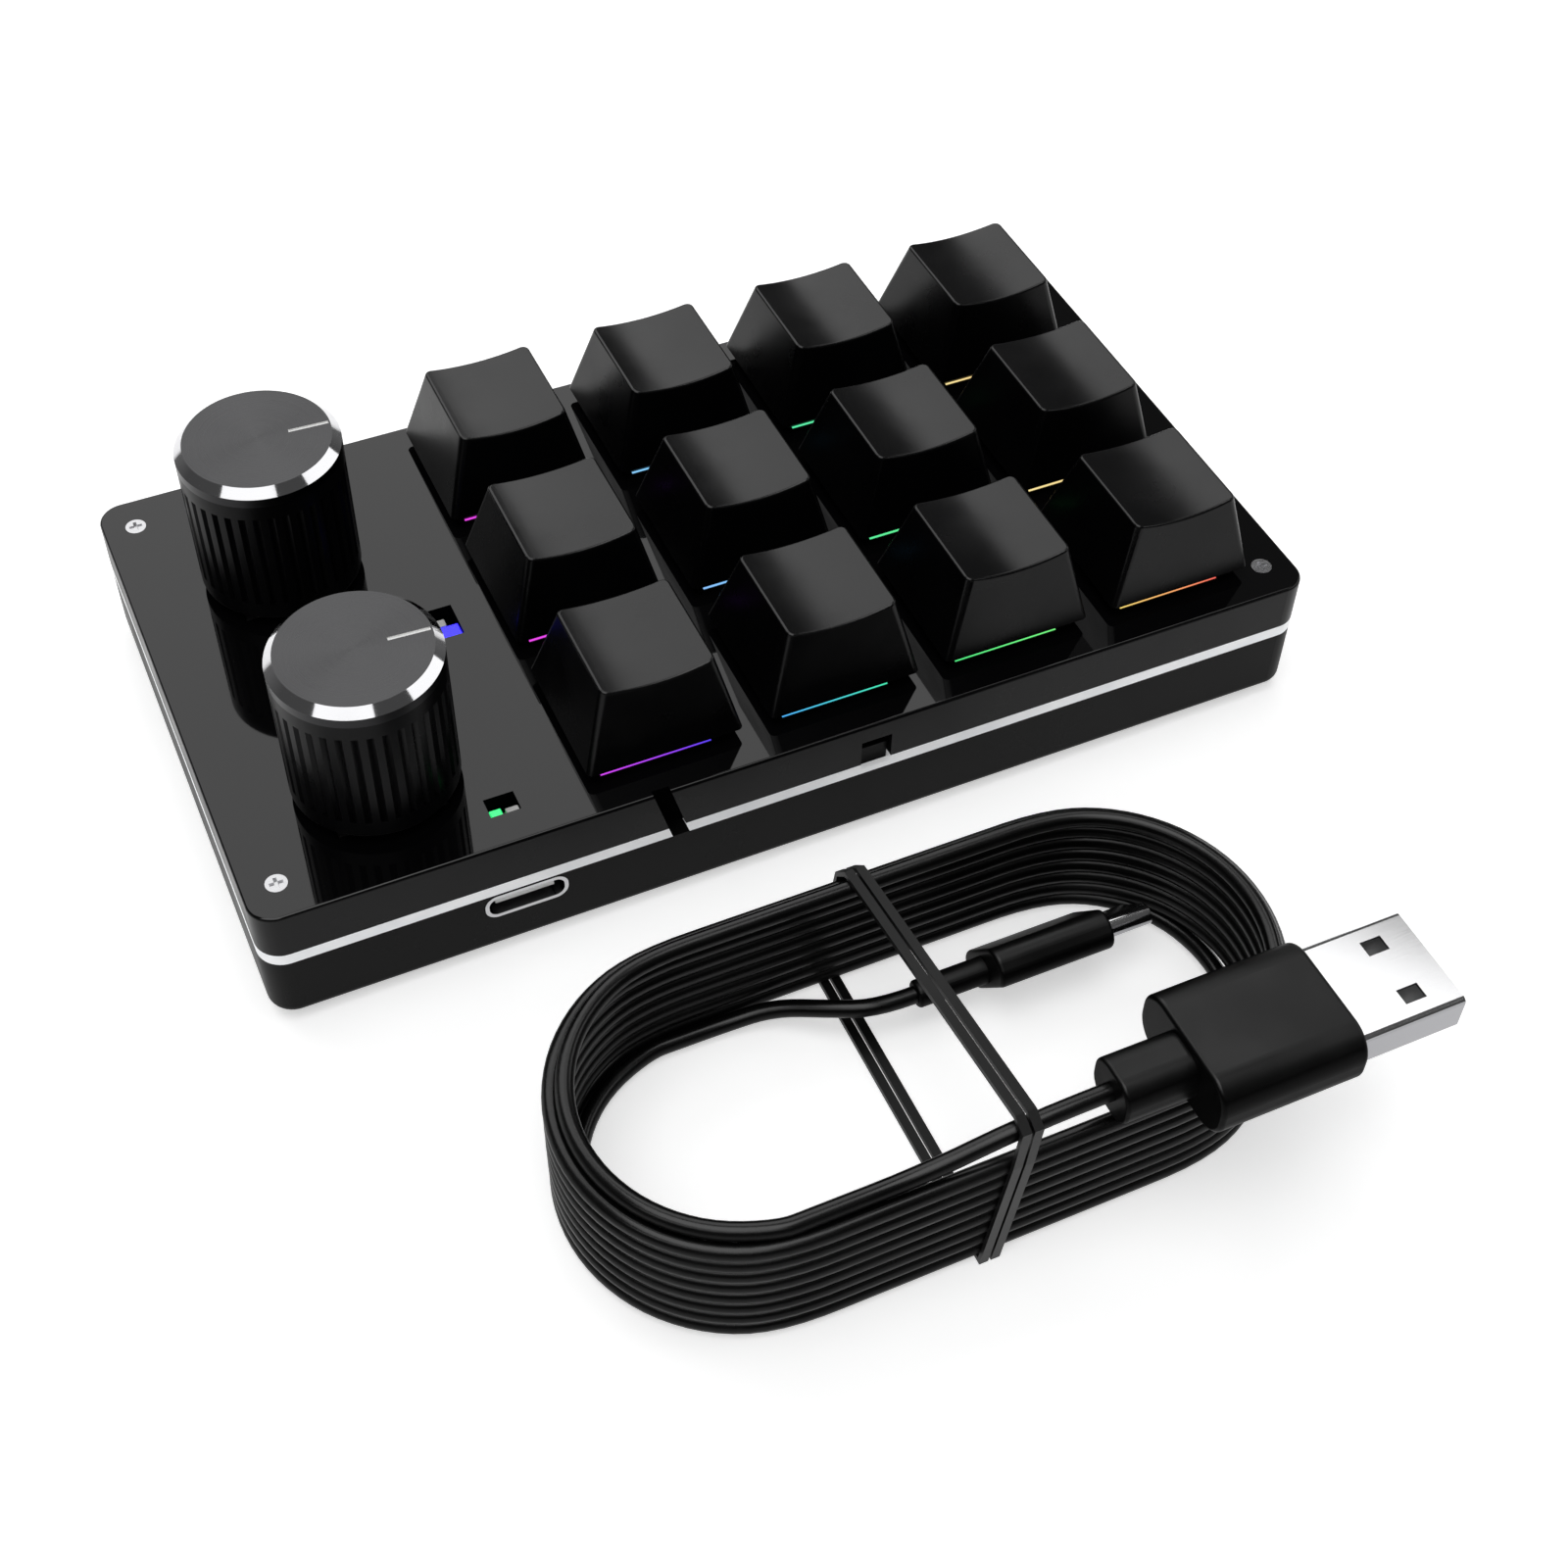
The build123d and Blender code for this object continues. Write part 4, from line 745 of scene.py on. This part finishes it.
class KEYPAD_OT_key_lights(bpy.types.Operator):
    """Make the line of light under the front of each key"""
    bl_idname = "keypad.make_key_lights"
    bl_label = "Make Key Lights"

    def execute(self, context):
        lights = context.scene.keypad_lights
        # per row and column, the colours at the left and at the right end of the line
        hues = {
            1: [("#e04cff", "#5a46ff"), ("#52b6ff", "#4cf0b8"),
                ("#58f58a", "#7cff86"), ("#ffe07a", "#ff6a60")],
            2: [("#f44cf0", "#b04cff"), ("#8cc4ff", "#6fd0ff"),
                ("#5ff5a0", "#6cff90"), ("#ffe9a0", "#ffd58a")],
            3: [("#f44cf0", "#b04cff"), ("#8cd0ff", "#6fd8ff"),
                ("#5ff5b0", "#6cffa0"), ("#ffe9a0", "#ffc070")],
        }
        front_reach, thickness, edge = 7.8 * MM, 0.25 * MM, 0.05 * MM
        left_reach, right_reach = 7.3 * MM, 5.6 * MM
        for row in ROWS:
            for column in COLUMNS:
                key = middle(f"switch_stem_row{row}_col{column}")
                name = f"key_light_row{row}_col{column}"
                front = key.y - front_reach
                bar = rounded_bar(
                    name,
                    (key.x - left_reach, front - thickness, DECK_Z),
                    (key.x + right_reach, front, DECK_Z + lights.line_height),
                    edge)
                left, right = hues[row][column - 1]
                new_piece(
                    name, bar, "keypad",
                    line_of_light(f"{name}_glow", left, right, lights.key_light_strength))
        return {"FINISHED"}


class KEYPAD_OT_knobs(bpy.types.Operator):
    """Finish the two knobs"""
    bl_idname = "keypad.finish_knobs"
    bl_label = "Finish Knobs"

    def execute(self, context):
        finish = context.scene.keypad_finish
        # moulded ABS with hardly any shine, so that the flutes stay dark
        skirt = moulded(
            "knob_abs", linear("#060607"), 0.3 * MM, 0.002 * MM, 0.3, **{"Specular IOR Level": 0.08})
        for place in KNOBS:
            disc = f"{place}_knob_disc"
            dress(disc, spun_aluminium(
                f"{place}_spun_aluminium", finish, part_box(disc)[1].z, middle(disc)))
            dress(f"{place}_knob_skirt", skirt)
        return {"FINISHED"}


class KEYPAD_OT_plugs(bpy.types.Operator):
    """Finish the plugs and the tie of the lead"""
    bl_idname = "keypad.finish_plugs"
    bl_label = "Finish Plugs"

    def execute(self, context):
        # soft matt skin: its upper side catches the light, its flanks stay dull
        overmould = two_finishes(
            "overmould_tpe", linear("#0a0a0a"), (0.38, 0.45), (0.36, 0.05, 0.3), 0.004 * MM)
        dress("usb_a_overmould", overmould)
        dress("plug_overmould", overmould)
        # bright nickel on the faces that look up; the sides and underside carry a darker grey as painted
        # shade
        shell = plated(
            "nickel_plated_shell", linear("#f6f6f7"), 0.12 * MM, 0.12,
            bright_side=("Z", 0.4, 0.8, linear("#9b9b9e")))
        dress("usb_a_shell", shell)
        dress("plug_shell", shell)
        # moulded nylon: a dull grey inside the bright shell
        dress("usb_a_insert", moulded("insert_nylon", linear("#8d8d8d"), 0.2 * MM, 0.005 * MM, 0.45))
        # extruded PVC strip: black, with a soft sheen
        dress("cable_tie", moulded(
            "tie_pvc", linear("#0a0a0a"), 0.5 * MM, 0.004 * MM, 0.4, **{"Specular IOR Level": 0.3}))
        return {"FINISHED"}


class KEYPAD_OT_studio(bpy.types.Operator):
    """Make the floor and the studio lights"""
    bl_idname = "keypad.make_studio"
    bl_label = "Make Studio"

    def softbox(self, name, place, aim, size, radiance, tilt):
        """An area light that faces a point, turned by a tilt about its own axis."""
        data = bpy.data.lights.new(name, "AREA")
        data.shape = "RECTANGLE"
        data.size, data.size_y = size
        data.energy = radiance * pi * size[0] * size[1]
        light = bpy.data.objects.new(name, data)
        bpy.context.scene.collection.objects.link(light)
        direction = (Vector(aim) - Vector(place)).normalized()
        turn = direction.to_track_quat("-Z", "Y").to_matrix().to_4x4() @ Matrix.Rotation(tilt, 4, "Z")
        light.matrix_world = Matrix.Translation(place) @ turn
        light.visible_camera = False

    def execute(self, context):
        scene = context.scene
        studio = scene.keypad_studio
        scene.view_settings.view_transform = "Standard"
        floor_size = 6.0
        half = floor_size / 2
        mesh = bpy.data.meshes.new("studio_floor")
        mesh.from_pydata(
            [(-half, -half, 0), (half, -half, 0), (half, half, 0), (-half, half, 0)], [], [(0, 1, 2, 3)])
        mesh.materials.append(studio_paper(studio))
        floor = bpy.data.objects.new("studio_floor", mesh)
        scene.collection.objects.link(floor)
        scene.world = dim_room()
        centre = (0.0, 0.0, 0.0)
        knobs = (-0.046, -0.002, 0.037)
        plug = (0.035, -0.088, 0.022)
        strip = studio.strip_radiance
        # name, place, what it faces, size, brightness, tilt
        for softbox in (
            # its mirror image lies on the deck and the tops of the keys
            ("overhead_softbox", (-0.05, 0.55, 0.6), centre, (0.9, 0.6), studio.overhead_radiance, 0.0),
            # the wide soft light on the floor
            ("floor_softbox", (-0.2, -0.2, 1.5), centre, (1.2, 1.2), studio.floor_radiance, 0.0),
            # these two draw the arcs of light on the bevels of the knobs
            ("front_strip", (-0.455, -0.516, 0.726), knobs, (1.02, 0.23), strip, radians(10.8)),
            ("side_strip", (0.62, -0.129, 0.4), knobs, (0.75, 0.17), strip, radians(-27.3)),
            # its mirror image lies on the upper face of the USB-A plug's shell
            ("plug_softbox", (0.362, 0.217, 0.683), plug, (0.25, 0.18), strip, 0.0),
        ):
            self.softbox(*softbox)
        return {"FINISHED"}


class KEYPAD_PT_sidebar(bpy.types.Panel):
    """Steps that dress the keypad, in order"""
    bl_idname = "KEYPAD_PT_sidebar"
    bl_label = "Macro Keypad"
    bl_space_type = "VIEW_3D"
    bl_region_type = "UI"
    bl_category = "Keypad"

    def draw(self, context):
        for settings in ("keypad_lead", "keypad_lights", "keypad_finish", "keypad_studio"):
            group = getattr(context.scene, settings)
            for name in group.bl_rna.properties.keys():
                if name not in ("rna_type", "name"):
                    self.layout.prop(group, name)
        for step in STEPS:
            self.layout.operator(step.bl_idname)


SETTINGS = {
    "keypad_lead": LeadSettings,
    "keypad_lights": LightSettings,
    "keypad_finish": FinishSettings,
    "keypad_studio": StudioSettings,
}
STEPS = (
    KEYPAD_OT_camera,
    KEYPAD_OT_lead,
    KEYPAD_OT_case,
    KEYPAD_OT_boards,
    KEYPAD_OT_switches,
    KEYPAD_OT_keycaps,
    KEYPAD_OT_key_lights,
    KEYPAD_OT_knobs,
    KEYPAD_OT_plugs,
    KEYPAD_OT_studio,
)


def register():
    for name, group in SETTINGS.items():
        bpy.utils.register_class(group)
        setattr(bpy.types.Scene, name, PointerProperty(type=group))
    for step in STEPS:
        bpy.utils.register_class(step)
    bpy.utils.register_class(KEYPAD_PT_sidebar)


def unregister():
    bpy.utils.unregister_class(KEYPAD_PT_sidebar)
    for step in reversed(STEPS):
        bpy.utils.unregister_class(step)
    for name, group in SETTINGS.items():
        delattr(bpy.types.Scene, name)
        bpy.utils.unregister_class(group)


def main():
    register()
    bpy.ops.keypad.set_camera()
    bpy.ops.keypad.make_lead()
    bpy.ops.keypad.finish_case()
    bpy.ops.keypad.finish_boards()
    bpy.ops.keypad.finish_switches()
    bpy.ops.keypad.finish_keycaps()
    bpy.ops.keypad.make_key_lights()
    bpy.ops.keypad.finish_knobs()
    bpy.ops.keypad.finish_plugs()
    bpy.ops.keypad.make_studio()


if __name__ == "__main__":
    main()
